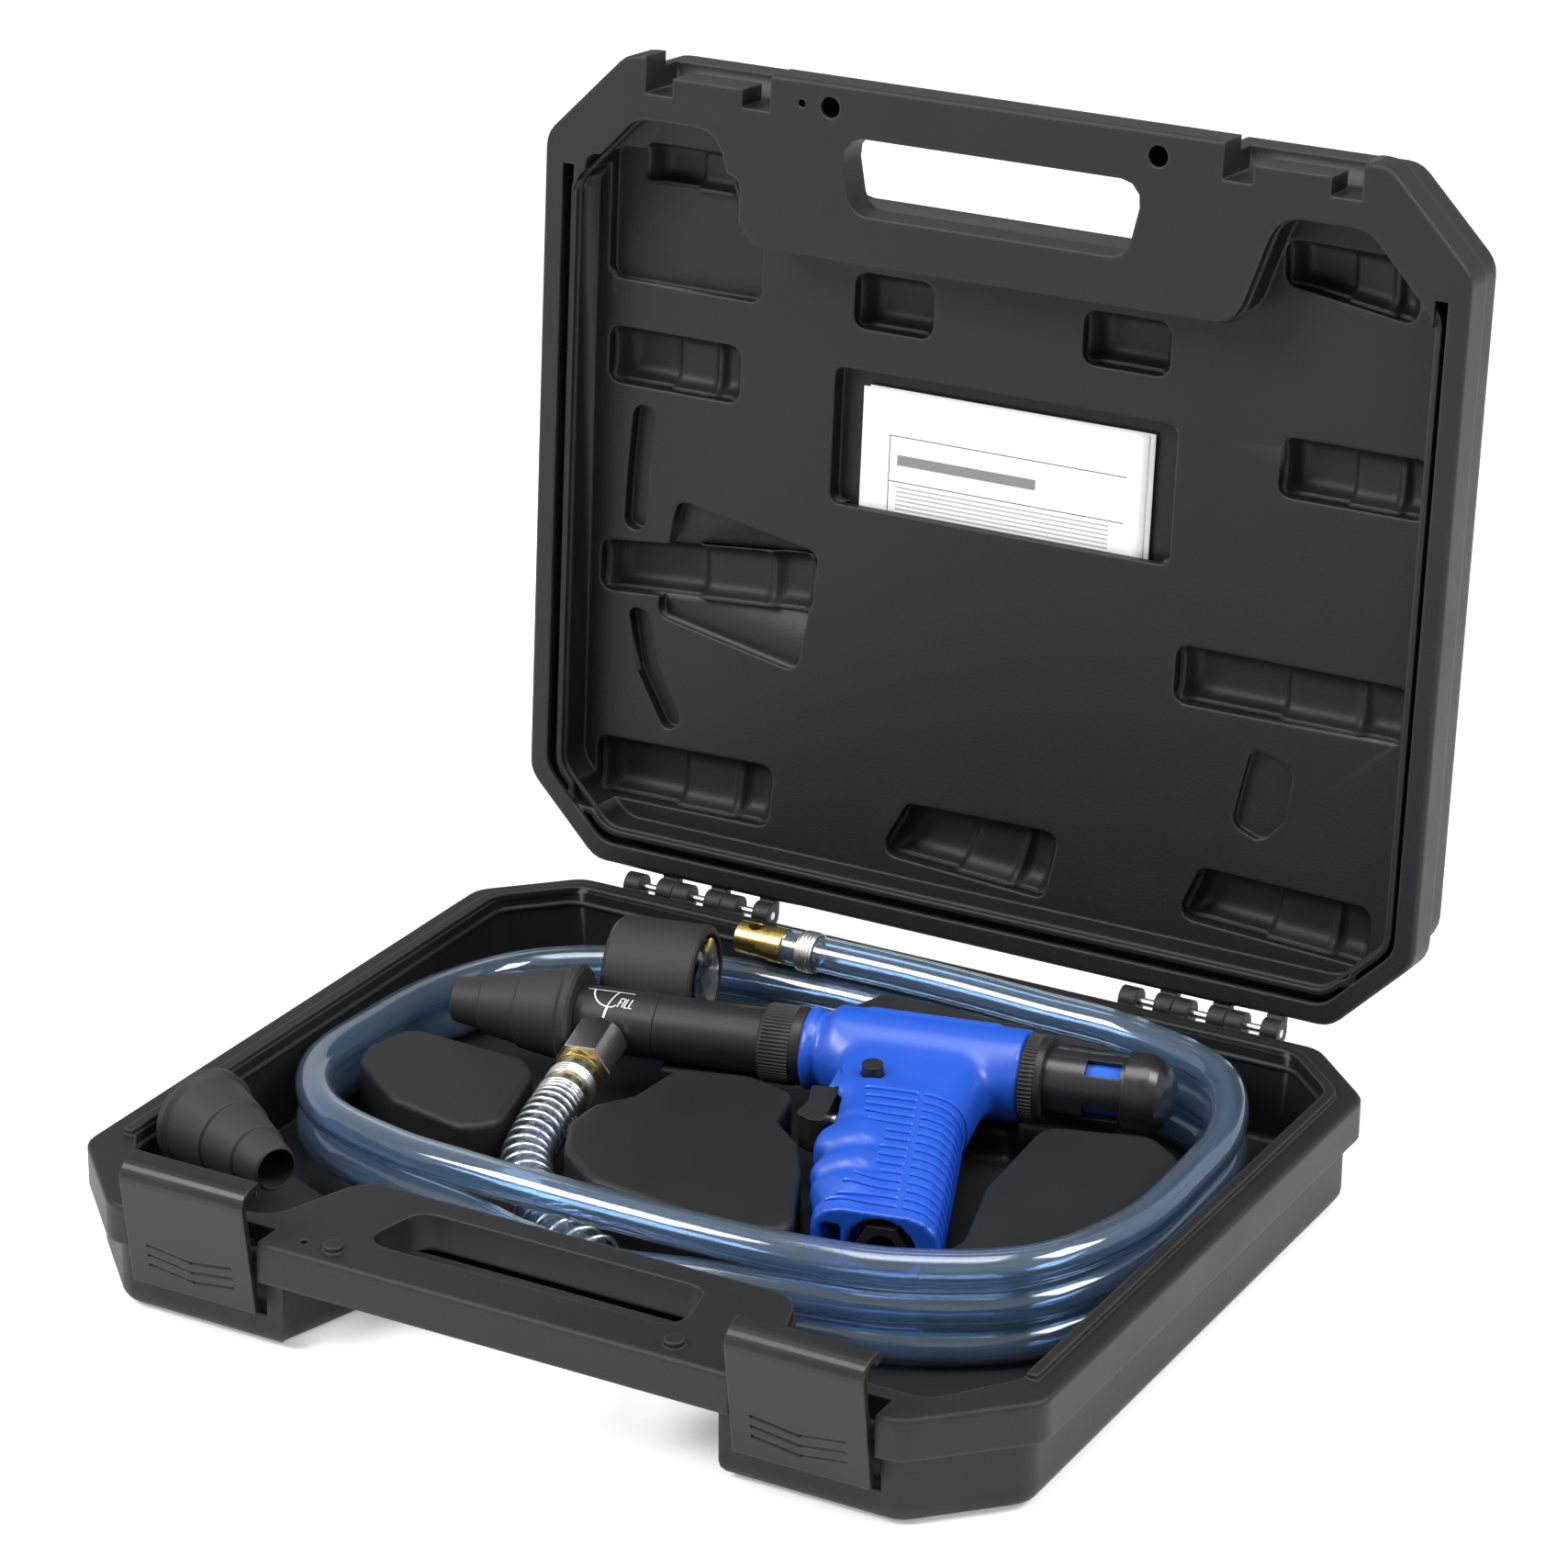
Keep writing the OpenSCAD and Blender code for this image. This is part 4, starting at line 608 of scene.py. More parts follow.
def pocket_form(corners, rows, columns):
    """Trough across a pocket of the shut lid, in millimetres, over its four corners.

    Between the corners the place is straight. The height is a deep domed end, a step, a collar and a
    shallower end, with sides that rise by 8 |2w - 1|^5 and ends that rise by a bell. Short pockets have
    no step.
    """
    u, w = np.meshgrid(np.linspace(0.004, 0.996, columns), np.linspace(0.01, 0.99, rows))
    a, b, c, d = np.array(corners, float)
    across, up = u[..., None], w[..., None]
    flat = (1 - up) * ((1 - across) * a + across * b) + up * ((1 - across) * d + across * c)
    length = np.linalg.norm(b - a)
    rise = 0.4 + 8 * np.abs(2 * w - 1) ** 5 + swell(np.minimum(u, 1 - u) * length, 9, 0, 3.4)
    if length >= 40:
        rise += 3.2 * ease((u - 0.43) / 0.04) - 1.4 * ease((u - 0.79) / 0.03)
        rise += swell(u * length, 1.8, 0.775 * length, 1.6)
    return np.stack([flat[..., 0], HALF_D - flat[..., 1], LID_Z + POCKET_DEPTH - np.minimum(rise, 11)], -1)


class REFILL_OT_case_forms(bpy.types.Operator):
    """Makes the moulded forms in the lid's pockets and the beads round both hollows"""
    bl_idname = "refill_kit.case_forms"
    bl_label = "Case forms"

    def execute(self, context):
        grain = bpy.data.materials["case_grain"]
        rows, columns = 34, 70
        points = np.concatenate([pocket_form(c, rows, columns).reshape(-1, 3) for c in POCKETS])
        faces = [grid_faces(rows, columns, n * rows * columns, closed=False) for n in range(len(POCKETS))]
        forms = put_mesh("pocket_forms", lid_world(points), np.concatenate(faces))
        wall = forms.modifiers.new("wall", "SOLIDIFY")
        wall.thickness, wall.offset = THIN_WALL * MM, 0
        settle(forms, grain, "lid")
        for name, body, hollow, z, place in (
                ("lid_bead", "lid", LID_HOLLOW, LID_Z + 5.5, lid_world),
                ("base_bead", "base", BASE_HOLLOW, BASE_H - 5, lambda p: p * MM)):
            rings = closed_ridge(rounded_line(hollow_outline(*hollow), 12), z, BEAD_RADIUS, BEAD_SIDES)
            bead = put_mesh(name, place(rings.reshape(-1, 3)), ring_faces(len(rings), BEAD_SIDES))
            settle(bead, grain, body)
        return {"FINISHED"}


def grip_front(d):
    """Place of the grip's front along the barrel, at a distance down the grip: a lean of 15 in 89."""
    return 32 + (d - 36) * 15 / 89


def shoulder_melt(points):
    """How much the gun's skin melts.

    It is 1 where the barrel runs into the grip and at the fingers, and 0 at the bores and the pad.
    """
    s, u, h = gun_local(points).T
    zone = band(s, 17, 91, 5) * band(-u, 8, 52, 8) * (np.hypot(s - 43, -u - 32) > 6.5)
    zone = zone * (1 - band(s, 0, 40, 3) * band(-u, 34, 61, 3) * (np.abs(h) < 9)) * (np.hypot(u, h) > 14)
    fingers = band(-u, 64, 117, 6) * ease((grip_front(-u) + 17 - s) / 8)
    return np.maximum(zone, fingers * ((np.abs(h) > 9) | (s < 49) | (u > -97)))


def soft_copy(node, name, melt):
    """Copy of a solid with its edges melted.

    It is an even cage of cells, whose points are averaged with their neighbours in rounds. More rounds draw
    the points that melt marks toward their neighbours, into wide fillets.
    """
    thing = put_object(name, merged_mesh(node, name, 1e-6))
    remesh = thing.modifiers.new("cells", "REMESH")
    remesh.mode, remesh.voxel_size = "VOXEL", SKIN_CELL * MM
    bpy.context.view_layer.update()
    made = bpy.data.meshes.new_from_object(thing.evaluated_get(bpy.context.evaluated_depsgraph_get()))
    thing.modifiers.clear()
    thing.data = made
    made.name = name
    points = read(made.vertices, "co", 3)
    a, b = read(made.edges, "vertices", 2, np.int32).T
    total = len(points)
    count = (np.bincount(a, minlength=total) + np.bincount(b, minlength=total))[:, None]

    def drawn(points, weight):
        """Points moved toward the mean of their neighbours, by a weight."""
        near = [np.bincount(a, points[b, k], total) + np.bincount(b, points[a, k], total) for k in range(3)]
        return points + weight * (np.stack(near, 1) / count - points)

    for weight in (0.55, -0.57) * SMOOTH_ROUNDS:
        points = drawn(points, weight)
    amount = 0.6 * melt(points)[:, None]
    for _ in range(MELT_ROUNDS):
        points = drawn(points, amount)
    made.vertices.foreach_set("co", points.ravel())
    smooth(made)
    made.update()
    return thing, points, read(made.vertices, "normal", 3)


class REFILL_OT_gun_body(bpy.types.Operator):
    """Makes the blue body: melted shoulders, finger lobes and a bare raised pad"""
    bl_idname = "refill_kit.gun_body"
    bl_label = "Gun body"

    def execute(self, context):
        body, points, normals = soft_copy("gun_body", "gun_shell", shoulder_melt)
        s, u, h = gun_local(points).T
        d = -u
        n = normals @ gun_axes().T
        front = grip_front(d)
        inlet_s, inlet_r = 73, 13
        # Cheeks beside the trigger end on a slope from the barrel to the grip
        slope = np.minimum(26 + (d - 20) * 0.5, front)
        s = np.where((d > 20) & (d < 62) & (np.abs(h) > 7.2), np.maximum(s, slope), s)
        outside = ease((np.abs(n[:, 1]) - 0.85) / -0.3) * (np.hypot(s - inlet_s, h) > inlet_r)
        # Finger lobes: soft creases across the front of the grip, fading toward the ribs
        crease = sum(swell(d, deep, at, wide) for at, wide, deep in LOBE_CREASES)
        lift = band(d, 58, 119, 6) * ease((front + 24 - s) / 12) * outside * (LOBE_RISE - crease)
        # Bare pad on the barrel's upper back
        turn = np.degrees(np.arctan2(h, u))
        lift = lift + 0.7 * band(s, 30, 80, 1.6) * band(turn, 30, 74, 5) * (np.hypot(u, h) > 15)
        # Room for the trigger and the valve in the pocket and the bore
        pocket = (s < 39) & (d > 35) & (d < 60.4) & (np.abs(h) < 8.2)
        bore = (np.hypot(d - 47, h) < 6.7) & (s > 37) & (s < 78)
        lift = np.where(pocket | bore, -0.5, lift)
        local = np.stack([s, u, h], 1) + n * lift[:, None]
        body.data.vertices.foreach_set("co", gun_world(local).ravel())
        body.data.update()
        f = Finish("gun_blue", roughness=0.36, coat_weight=0.12, coat_roughness=0.25)
        soft, edge = f.edges(0.5 * MM)
        cloud = f.noise(40, 4)
        fine = f.noise(2200, 2)
        blue = list(settings().gun_colour)
        tone = f.mix(cloud, [c * 0.88 for c in blue], [c * 1.1 for c in blue])
        # Painted highlight: edges mixed toward a paler blue
        shade = f.mix(edge * 0.4, tone, [blue[0] + 0.03, blue[1] + 0.07, min(1, blue[2] + 0.12)])
        gloss = 0.3 + cloud * 0.1 + fine * 0.06
        f.feed(Base_Color=shade, Roughness=gloss, Normal=f.bump(fine, 0.3, 0.00005, soft))
        settle(body, f.material, "gun", "gun_body")
        return {"FINISHED"}


def skin_line(tree, middle, turns, reach=40):
    """Points where rays toward the middle first meet the skin, in the gun's own millimetres.

    A ray of turn t starts at middle + reach * (cos t, 0, sin t) and runs straight back to the middle. The
    line is then smoothed by rounds of a quarter, a half and a quarter.
    """
    ways = np.stack([np.cos(turns), np.zeros_like(turns), np.sin(turns)], 1)
    starts = np.array(middle) + reach * ways
    hits = [tree.ray_cast(p, w)[0] for p, w in zip(starts.tolist(), (-ways).tolist())]
    line = np.array([hit if hit else middle for hit in hits])
    for _ in range(6):
        line[1:-1] = 0.5 * line[1:-1] + 0.25 * (line[2:] + line[:-2])
    return line


def rib_strip(line, across, high, soft):
    """Thin rib along a line on the skin: a raised cosine across it, falling off over a soft length."""
    along = unit(np.gradient(line, axis=0) * [1, 0, 1])
    out = np.stack([along[:, 2], 0 * along[:, 0], -along[:, 0]], 1)
    run = np.concatenate([[0], np.cumsum(np.linalg.norm(np.diff(line, axis=0), axis=1))])
    taper = ease(np.minimum(run, run[-1] - run) / soft)
    rise = high * (1.3 * np.cos(np.pi / 2 * across) ** 2 - 0.3) * taper[:, None] - 0.1
    shift = np.array([0, -RIB_HALF, 0]) * across[:, None]
    return line[:, None] + out[:, None] * rise[..., None] + shift[None]


class REFILL_OT_grip_ribs(bpy.types.Operator):
    """Makes the thin ribs round the grip, broken by a bare strip on each side"""
    bl_idname = "refill_kit.grip_ribs"
    bl_label = "Grip ribs"

    def execute(self, context):
        mesh = bpy.data.objects["gun_shell"].data
        corner = read(mesh.loops, "vertex_index", kind=np.int32)
        tree = BVHTree.FromPolygons(gun_local(read(mesh.vertices, "co", 3)).tolist(),
                                    corner.reshape(-1, 4).tolist())
        high = settings().rib_depth / MM
        across = np.linspace(-1, 1, 9)
        strips = []
        for number, ahead in enumerate(RIB_REACH):
            d = RIB_FIRST + RIB_PITCH * number
            middle = [grip_front(d) + RIB_MIDDLE, -d, 0.0]
            # In front of the strip, on the upper side and mirrored to the lower
            first = math.atan2(GRIP_HALF, RIB_STRIP - ahead)
            last = math.atan2(GRIP_HALF, RIB_STRIP - STRIP_HALF)
            line = skin_line(tree, middle, np.linspace(first, last, 40))
            strips.append(rib_strip(line, across, high, 0.9))
            strips.append(rib_strip((line * [1, 1, -1])[::-1], across, high, 0.9))
            # From strip to strip round the back
            edge = math.atan2(GRIP_HALF, RIB_STRIP + STRIP_HALF)
            line = skin_line(tree, middle, np.linspace(edge, -edge, 90))
            strips.append(rib_strip(line, across, high, 0.5))
        faces, count = [], 0
        for strip in strips:
            faces.append(grid_faces(len(strip), len(across), count, closed=False))
            count += len(strip) * len(across)
        points = np.concatenate([strip.reshape(-1, 3) for strip in strips])
        ribs = put_mesh("grip_ribs", gun_world(points), np.concatenate(faces))
        settle(ribs, bpy.data.materials["gun_blue"], "gun")
        return {"FINISHED"}


class REFILL_OT_gun_fittings(bpy.types.Operator):
    """Finishes the black pieces of the gun, its cones and the pieces inside it"""
    bl_idname = "refill_kit.gun_fittings"
    bl_label = "Gun fittings"

    def execute(self, context):
        # The second colour of each moulded finish is a painted highlight on its edges
        edge_highlight = [0.05, 0.05, 0.055]
        dress(moulded("fitting_black", [0.013, 0.013, 0.014], edge_highlight, 2400, 0.38, 0.6, 0.00004, 0.25),
              "vacuum_tube", "fill_body", "front_collar", "rear_collar", "trigger", "lock_button",
              "air_inlet")
        dress(moulded("tube_gloss", [0.012, 0.012, 0.013], edge_highlight, 2400, 0.24, 0.5, 0.00002, 0.2, 0.5),
              "silencer_tube", "silencer_cap")
        rubber_edge_highlight = [0.055, 0.055, 0.058]
        dress(moulded("cone_rubber", [0.019, 0.019, 0.02], rubber_edge_highlight, 1700, 0.58, 0.7, 0.00008, 0.35),
              "nose_cone", "spare_cone", "gauge_boot")
        dress(moulded("seal_rubber", [0.012, 0.012, 0.012], [0.03, 0.03, 0.03], 3000, 0.5, 0.2),
              "tube_seal", "nose_seal", "stem_seal")
        dress(moulded("porous_blue", [0.02, 0.1, 0.5], [0.05, 0.2, 0.7], 900, 0.8, 0.4, 0.0003),
              "silencer_element")
        dress(metal("turned_brass", [0.78, 0.56, 0.2], [0.5, 0.33, 0.1], 0.26),
              "venturi_nozzle", "valve_seat", "gauge_movement", "bourdon_tube", "gauge_stem", "swivel_tail",
              "end_fitting")
        dress(metal("zinc_steel", [0.7, 0.71, 0.72], [0.5, 0.5, 0.5], 0.3),
              "valve_stem", "valve_spring", "button_spring", "inlet_washer", "gauge_case")
        dress(metal("bright_chrome", [0.85, 0.85, 0.85], [0.72, 0.72, 0.72], 0.12, round_mm=0.7),
              "swivel_nut")
        dress(metal("yellow_zinc", [0.66, 0.62, 0.42], [0.45, 0.44, 0.36], 0.24), "hose_ferrule")
        return {"FINISHED"}


class REFILL_OT_collars(bpy.types.Operator):
    """Makes the two collars with their fine knurls"""
    bl_idname = "refill_kit.collars"
    bl_label = "Collars"

    def execute(self, context):
        for name, node, start, stop, inside, radius, lip in (
                ("front_knurl", "front_collar", -8, 8.8, 12.5, 15, 0.74),
                ("rear_knurl", "rear_collar", 92.2, 101, 12.6, 16.5, 0.66)):
            # Profile: share of the length, fall below the radius, and share of the knurls' depth
            deep = radius - inside
            t, fall, knurled = np.array((
                (0, deep, 0), (0, 1.1, 0), (0.04, 0.5, 0), (0.08, 0.35, 0), (0.085, 0, 0.5), (0.12, 0, 1),
                (0.4, 0, 1), (lip - 0.04, 0, 1), (lip, 0, 0.5), (lip + 0.01, 0.5, 0), (lip + 0.03, 0.55, 0),
                (0.95, 0.55, 0), (1, 1.1, 0), (1, deep, 0))).T[..., None]
            # Round the axis, the radius less a groove that comes and goes with the cosine of the knurls
            q = circle(KNURLS * KNURL_POINTS)
            r = radius - fall - knurled * KNURL_DEPTH * ease(0.9 - 1.3 * np.cos(KNURLS * q))
            s = np.broadcast_to(start + (stop - start) * t, r.shape)
            rings = np.stack([s, r * np.cos(q), r * np.sin(q)], -1)
            collar = put_mesh(name, gun_world(rings.reshape(-1, 3)), ring_faces(len(t), len(q)))
            collar.data.set_sharp_from_angle(angle=math.radians(40))
            settle(collar, bpy.data.materials["fitting_black"], "gun", node)
        return {"FINISHED"}


def stroke(points, wide):
    """Flat ribbon along a line of points: the line plus and minus half the width, square to it."""
    along = unit(np.gradient(points, axis=0))
    out = np.stack([-along[:, 1], along[:, 0]], 1) * wide / 2
    return np.stack([points + out, points - out], 1)


class REFILL_OT_flow_mark(bpy.types.Operator):
    """Makes the printed flow arrow on the fill body"""
    bl_idname = "refill_kit.flow_mark"
    bl_label = "Flow mark"

    def execute(self, context):
        # Strokes in millimetres along the body and round it: a line, a bowl with a stem, and the word
        bend = np.linspace(0, math.pi / 2, 16)
        bowl = np.stack([10 - 7 * np.cos(bend), 8 * np.sin(bend)], 1)
        lines = [([(0, 0), (9, 0), (18.6, 0)], 0.3), (bowl, 0.5), ([(12.4, 0.2), (11, 4), (9.7, 7.8)], 0.4),
                 ([(9.9, 7.8), (9.5, 10), (9.1, 12.4)], 0.9), ([(10, 8), (11.6, 8), (13, 7)], 0.4)]
        letters = {"F": [[(0, 0), (0, 1)], [(0, 1), (0.8, 1)], [(0, 0.5), (0.6, 0.5)]],
                   "I": [[(0, 0), (0, 1)]],
                   "L": [[(0, 0), (0, 1)], [(0, 0), (0.8, 0)]]}
        x = 13.6
        for letter in "FILL":
            for a, b in letters[letter]:
                ends = [(x + 1.5 * px + 0.9 * py, 7.6 - 4 * py) for px, py in (a, b)]
                lines.append((np.linspace(*ends, 3), 0.42))
            x += 0.9 if letter == "I" else 1.7
        # The flat strokes are wrapped round the body, just above its skin
        radius, start, top, steps = 12.46, -77.5, math.radians(88), 24
        flat = np.concatenate([stroke(resampled(line, steps), wide) for line, wide in lines]).reshape(-1, 2)
        turned = top + flat[:, 1] / radius
        points = np.stack([start + flat[:, 0], radius * np.cos(turned), radius * np.sin(turned)], -1)
        faces = [grid_faces(steps, 2, 2 * steps * n, closed=False, flip=True) for n in range(len(lines))]
        mark = put_mesh("flow_arrow", gun_world(points), np.concatenate(faces))
        f = Finish("print_white", roughness=0.5)
        patchy = (f.noise(1500, 3) * 1.6 - 0.3).clamp()
        f.feed(Base_Color=f.mix(patchy, [0.62, 0.62, 0.62], [0.82, 0.82, 0.82]))
        settle(mark, f.material, "gun")
        return {"FINISHED"}


class REFILL_OT_gauge(bpy.types.Operator):
    """Makes the dial with its scale, and finishes lens and needle"""
    bl_idname = "refill_kit.gauge"
    bl_label = "Gauge"

    def execute(self, context):
        # Rings of the dial, with the turn and the share of the radius as its map
        dial_s = GAUGE_S + GAUGE_DEPTH - DIAL_INSET + DIAL_LIFT
        q = circle(96)
        r = np.linspace(1.4, DIAL_RADIUS, 14)[:, None]
        ring = np.stack(np.broadcast_arrays(dial_s, GAUGE_RISE + r * np.cos(q), r * np.sin(q)), -1)
        uv = np.stack(np.broadcast_arrays(q / (2 * np.pi), r / DIAL_RADIUS), -1)
        face = put_mesh("gauge_scale", gun_world(ring.reshape(-1, 3)), grid_faces(len(r), len(q)),
                        uv=uv.reshape(-1, 2))
        f = Finish("dial_scale", roughness=0.4)
        around, out = f.uv()
        tick = ((around * 40).fraction() < 0.14) * out.within(0.8, 0.93) * (around < 0.9)
        arc = out.within(0.72, 0.76) * around.within(0.15, 0.85)
        marked = f.mix(tick, [0.86, 0.86, 0.84], [0.02, 0.02, 0.02])
        f.feed(Base_Color=f.mix(arc, marked, [0.1, 0.35, 0.12]))
        settle(face, f.material, "gun", "gauge_dial")
        lens = Finish("lens_clear", roughness=0.04, ior=1.45, transmission_weight=1.0)
        smear = lens.noise(120, 3)
        lens.feed(Roughness=0.02 + smear * 0.04)
        dress(lens.material, "gauge_lens")
        # Its paler grey is a painted highlight on its edges
        dress(moulded("needle_black", [0.012, 0.012, 0.012], [0.03, 0.03, 0.03], 3000, 0.4, 0.1),
              "gauge_needle")
        return {"FINISHED"}


class REFILL_OT_hose(bpy.types.Operator):
    """Makes the clear hose along its loops, with its wall and bore"""
    bl_idname = "refill_kit.hose"
    bl_label = "Hose"

    def execute(self, context):
        line = smooth_line(hose_route(), 9)
        rows, sides = len(line), 44
        outer = tube_rings(line, settings().hose_diameter / MM / 2, sides).reshape(-1, 3)
        inner = tube_rings(line, settings().hose_bore / MM / 2, sides).reshape(-1, 3)
        # Rings of quads close the wall at both ends
        j = np.arange(sides)
        k = (j + 1) % sides
        first = np.stack([j, k, len(outer) + k, len(outer) + j], 1)
        last = first + (rows - 1) * sides
        faces = np.concatenate([grid_faces(rows, sides, flip=True), grid_faces(rows, sides, len(outer)),
                                first[:, ::-1], last])
        hose = put_mesh("clear_hose", np.concatenate([outer, inner]) * MM, faces)
        f = Finish("clear_vinyl", ior=1.42, transmission_weight=0.96, roughness=0.03, coat_weight=0.6,
                   coat_roughness=0.12, coat_ior=1.6)
        haze = f.noise(35, 4)
        tint = list(settings().hose_tint)
        f.feed(Base_Color=f.mix(haze, [c * 0.96 for c in tint], tint), Roughness=0.03 + haze * 0.06)
        settle(hose, f.material, "gun", "hose")
        return {"FINISHED"}


class REFILL_OT_spring(bpy.types.Operator):
    """Makes the bend spring: a wire curled round the hose where it leaves the ferrule"""
    bl_idname = "refill_kit.spring"
    bl_label = "Bend spring"

    def execute(self, context):
        # The wire's line is the hose's, from the ferrule's end on, plus the curls' radius turned round it
        per_span, per_curl, sides = 40, 28, 10
        curls = settings().spring_curls
        mid = smooth_line(hose_route(), per_span)[2 * per_span + 6:8 * per_span - 2]
        spine = resampled(mid, curls * per_curl)
        side, up = line_sides(spine)
        q = np.linspace(0, 2 * np.pi * curls, len(spine))[:, None]
        wire = spine + CURL_RADIUS * (side * np.cos(q) + up * np.sin(q))
        rings = tube_rings(wire, WIRE_RADIUS, sides)
        end = len(wire) * sides
        caps = [list(range(sides)), list(range(end - 1, end - sides - 1, -1))]
        faces = grid_faces(len(wire), sides, flip=True).tolist() + caps
        spring = put_mesh("curled_wire", rings.reshape(-1, 3) * MM, faces)
        zinc = metal("spring_zinc", [0.74, 0.75, 0.75], [0.55, 0.55, 0.54], 0.22)
        settle(spring, zinc, "gun", "bend_spring")
        return {"FINISHED"}


class REFILL_OT_bands(bpy.types.Operator):
    """Makes the two ribbed crimp bands on the hose's ends"""
    bl_idname = "refill_kit.bands"
    bl_label = "Crimp bands"

    def execute(self, context):
        silver = metal("band_silver", [0.83, 0.82, 0.79], [0.66, 0.65, 0.6], 0.3)
        route = hose_route()
        ahead = unit(route[-1] - route[-2])
        across = unit(np.cross(ahead, [0, 0, 1.0]))
        axes = np.array([ahead, across, np.cross(across, ahead)])

        def at_nut(p):
            """Points about the nut's axis, which runs down from the port."""
            return gun_world(np.stack([PORT_S + p[:, 1], -p[:, 0], p[:, 2]], 1))

        def at_end(p):
            """Points about the hose's end, along its last straight."""
            return (route[-1] + p @ axes) * MM

        # Ribs: the size of a cosine, fading at both ends of the band
        rib, pitch = 0.35, 1.4
        for name, node, start, length, inside, height, place in (
                ("nut_band", "crimp_band", FERRULE_D0 + 5, 6, 8.65, 1.05, at_nut),
                ("end_band", "end_crimp_band", -14, 7, 7.3, 0.9, at_end)):
            x = np.linspace(0, length, 43)
            ribs = rib * np.abs(np.cos(np.pi * x / pitch)) * band(x, 0.7, length - 0.7, 0.5)
            skin = np.stack([inside + height - rib + ribs, start + x], 1)
            profile = np.concatenate([[[inside, start]], skin, [[inside, start + length]]])
            settle(turned_piece(name, profile, 64, place), silver, "gun", node)
        return {"FINISHED"}


class REFILL_OT_booklet(bpy.types.Operator):
    """Makes the folded booklet in the lid's slot: loosely stacked leaves with plain ruled lines"""
    bl_idname = "refill_kit.booklet"
    bl_label = "Booklet"

    def execute(self, context):
        f = Finish("paper", roughness=0.75)
        x, y = f.uv()
        rule = y.within(0.828, 0.832) * x.within(0.1, 0.93)
        lower = y.within(0.655, 0.659) * x.within(0.1, 0.93)
        left = x.within(0.1, 0.1035) * (y < 0.83)
        words = ((y * 60).fraction() < 0.4) * (y < 0.645) * x.within(0.13, 0.88)
        head = y.within(0.72, 0.76) * x.within(0.13, 0.62)
        ink = (rule + lower + left + words * 0.55 + head * 0.8).clamp()
        fibre = f.noise(900, 3)
        shade = f.mix(ink, f.mix(fibre, [0.8, 0.8, 0.79], [0.86, 0.86, 0.85]), [0.06, 0.06, 0.065])
        f.feed(Base_Color=shade, Normal=f.bump(fibre, 0.2, 0.00004))
        # A leaf is a flat grid that bows by a sine across it, more toward its free edge
        steps = 25
        u, v = np.meshgrid(np.linspace(0, 1, steps), np.linspace(0, 1, steps))
        bow = 0.25 * np.sin(np.pi * u) * v
        for i, (dx, dv, deep) in enumerate(LEAVES):
            sheet = np.stack([LEAF_LEFT + LEAF_WIDE * u + dx, LEAF_LOW - LEAF_TALL * v + dv,
                              LEAF_BACK + deep - bow], -1)
            leaf = put_mesh(f"booklet_leaf_{i + 1}", lid_world(sheet.reshape(-1, 3)),
                            grid_faces(steps, steps, closed=False), uv=np.stack([u, v], -1).reshape(-1, 2))
            wall = leaf.modifiers.new("leaf", "SOLIDIFY")
            wall.thickness, wall.offset = THIN_WALL * MM, 0
            settle(leaf, f.material, "booklet", None if i else "instruction_booklet")
        return {"FINISHED"}


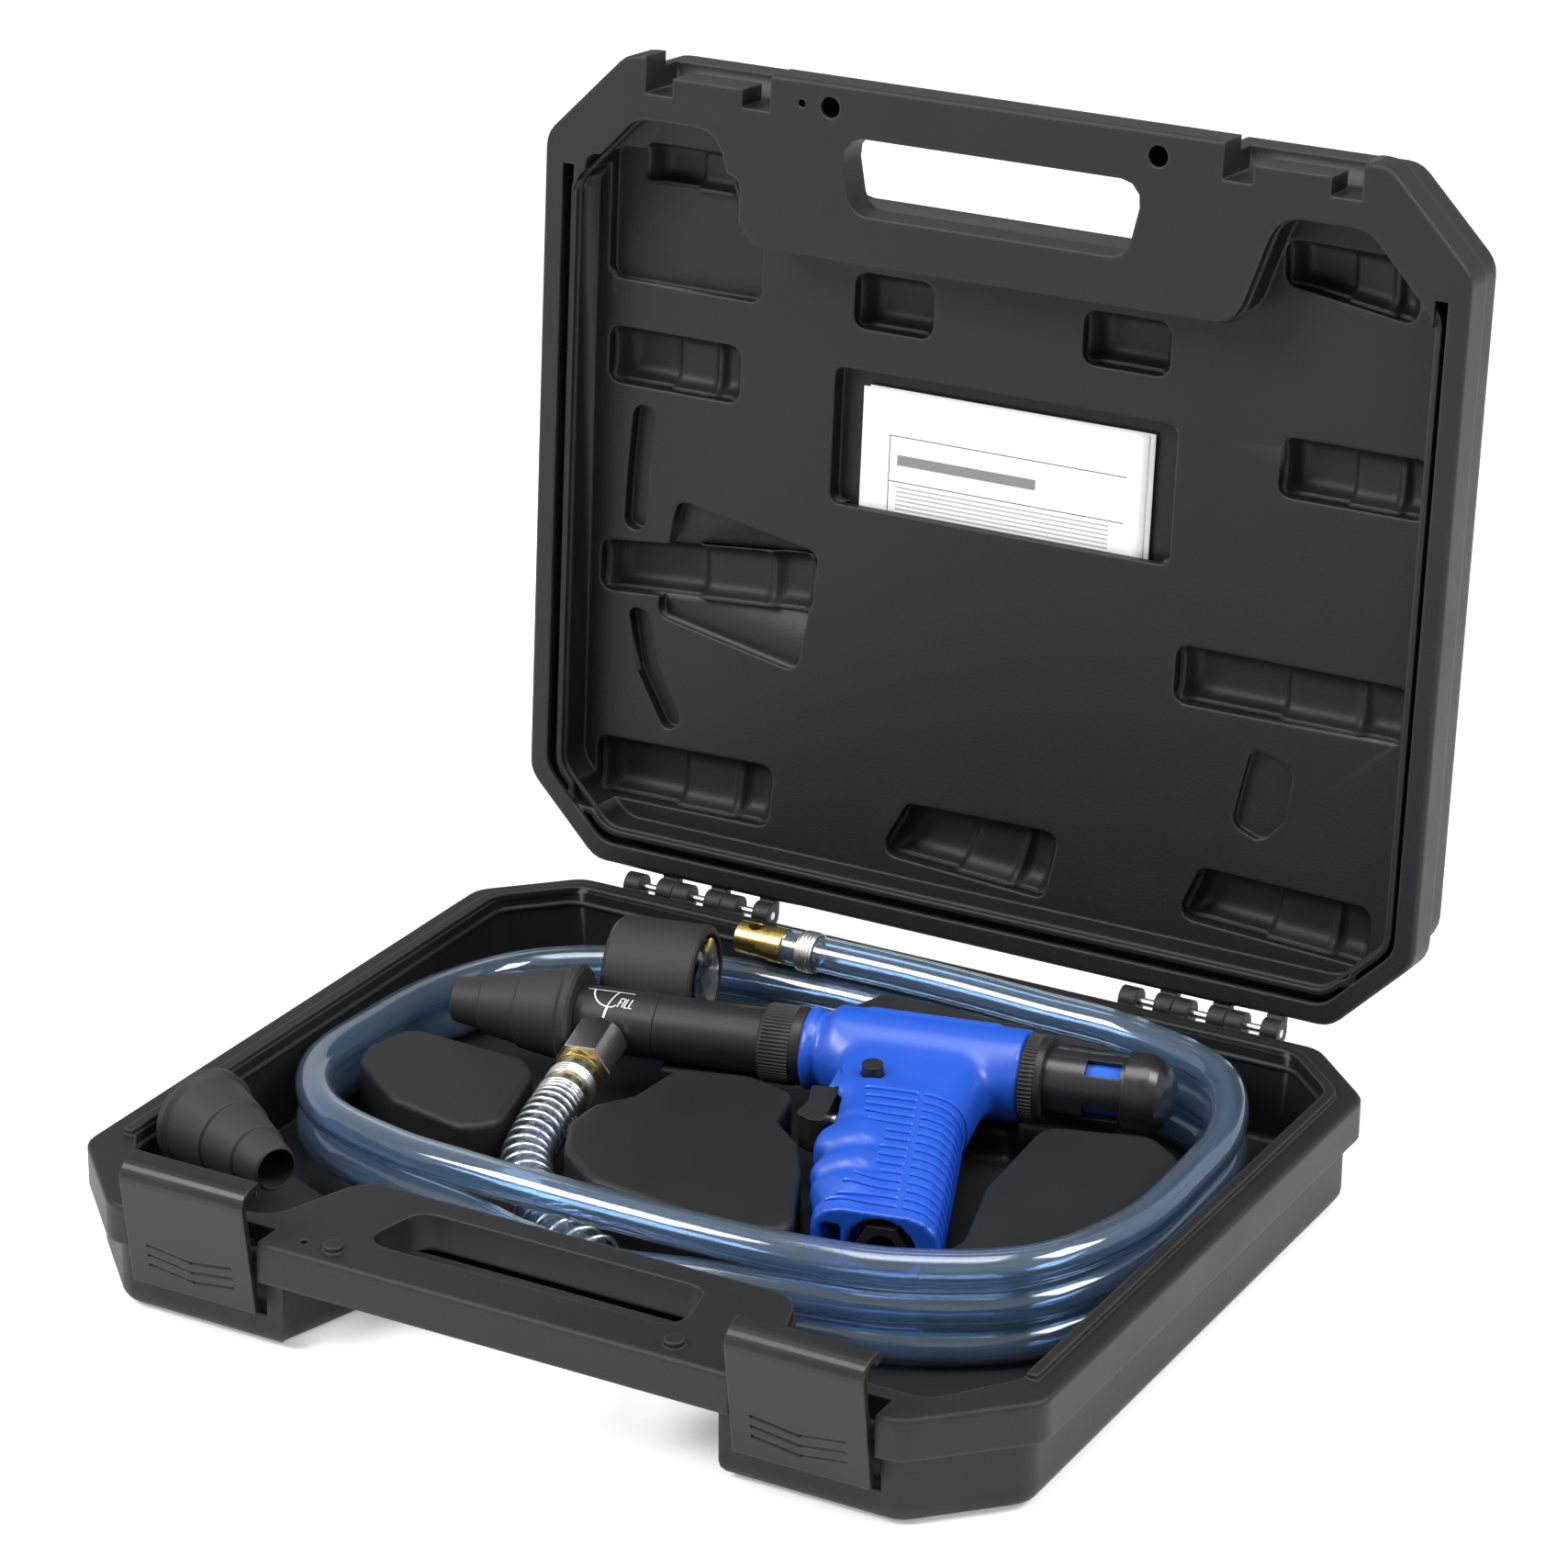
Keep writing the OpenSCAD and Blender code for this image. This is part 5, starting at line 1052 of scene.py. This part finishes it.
class REFILL_OT_stage(bpy.types.Operator):
    """Sets the pale floor, the soft lights and the camera at the photograph's angle"""
    bl_idname = "refill_kit.stage"
    bl_label = "Stage"

    def execute(self, context):
        edge = np.linspace(-4, 4, 3)
        x, y = np.meshgrid(edge, edge)
        flat = np.stack([x, y, np.full_like(x, -0.0005)], -1)
        floor = put_mesh("floor", flat.reshape(-1, 3), grid_faces(3, 3, closed=False))
        f = Finish("floor_pale", roughness=0.6, emission_color=(1, 1, 1, 1), emission_strength=0.3)
        f.feed(Base_Color=f.mix(f.noise(3, 2), [0.86, 0.86, 0.86], [0.89, 0.89, 0.89]))
        floor.data.materials.append(f.material)
        world = bpy.data.worlds.new("studio")
        world.use_nodes = True
        sky = world.node_tree.nodes["Background"].inputs
        sky["Color"].default_value = (1, 1, 1, 1)
        sky["Strength"].default_value = 0.5
        context.scene.world = world
        context.scene.view_settings.view_transform = "Standard"
        for name, at, aim, size, power in (
                ("key", (-1.3, -1.5, 1.9), (0, 0, 0.1), 1.1, 62),
                ("rim", (1.5, 0.4, 1.6), (0, 0.05, 0.1), 0.9, 34),
                ("top", (0.1, -0.2, 2.2), (0, 0, 0), 1.2, 30)):
            lamp = bpy.data.objects.new(name, bpy.data.lights.new(name, "AREA"))
            lamp.data.size, lamp.data.energy = size, power
            lamp.location = at
            way = np.array(at) - np.array(aim)
            yaw, pitch = math.atan2(way[0], -way[1]), math.atan2(math.hypot(way[0], way[1]), way[2])
            lamp.rotation_euler = (pitch, 0, yaw)
            context.collection.objects.link(lamp)
        camera = bpy.data.objects.new("camera", bpy.data.cameras.new("camera"))
        camera.data.sensor_fit, camera.data.sensor_width, camera.data.lens = "HORIZONTAL", 36, 116.94
        camera.location = (0.81266, -1.42442, 0.84595)
        camera.rotation_euler = (math.radians(90 - 22.33), 0, math.radians(29.04))
        camera.rotation_euler.rotate_axis("Z", math.radians(0.385))
        camera.data.clip_end = 20
        context.collection.objects.link(camera)
        context.scene.camera = camera
        return {"FINISHED"}


class REFILL_PT_panel(bpy.types.Panel):
    bl_idname = "REFILL_PT_panel"
    bl_label = "Refill Kit"
    bl_space_type = "VIEW_3D"
    bl_region_type = "UI"
    bl_category = "Refill Kit"

    def draw(self, context):
        for key in RefillKitSettings.__annotations__:
            self.layout.prop(context.scene.refill_kit, key)
        for operator in OPERATORS:
            self.layout.operator(operator.bl_idname)


OPERATORS = (REFILL_OT_case, REFILL_OT_case_forms, REFILL_OT_gun_body, REFILL_OT_grip_ribs,
             REFILL_OT_gun_fittings, REFILL_OT_collars, REFILL_OT_flow_mark, REFILL_OT_gauge, REFILL_OT_hose,
             REFILL_OT_spring, REFILL_OT_bands, REFILL_OT_booklet, REFILL_OT_stage)
CLASSES = (RefillKitSettings, *OPERATORS, REFILL_PT_panel)


def register():
    for kind in CLASSES:
        bpy.utils.register_class(kind)
    bpy.types.Scene.refill_kit = PointerProperty(type=RefillKitSettings)


def unregister():
    del bpy.types.Scene.refill_kit
    for kind in reversed(CLASSES):
        bpy.utils.unregister_class(kind)


def main():
    """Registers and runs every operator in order."""
    register()
    for operator in OPERATORS:
        group, name = operator.bl_idname.split(".")
        getattr(getattr(bpy.ops, group), name)()


if __name__ == "__main__":
    main()
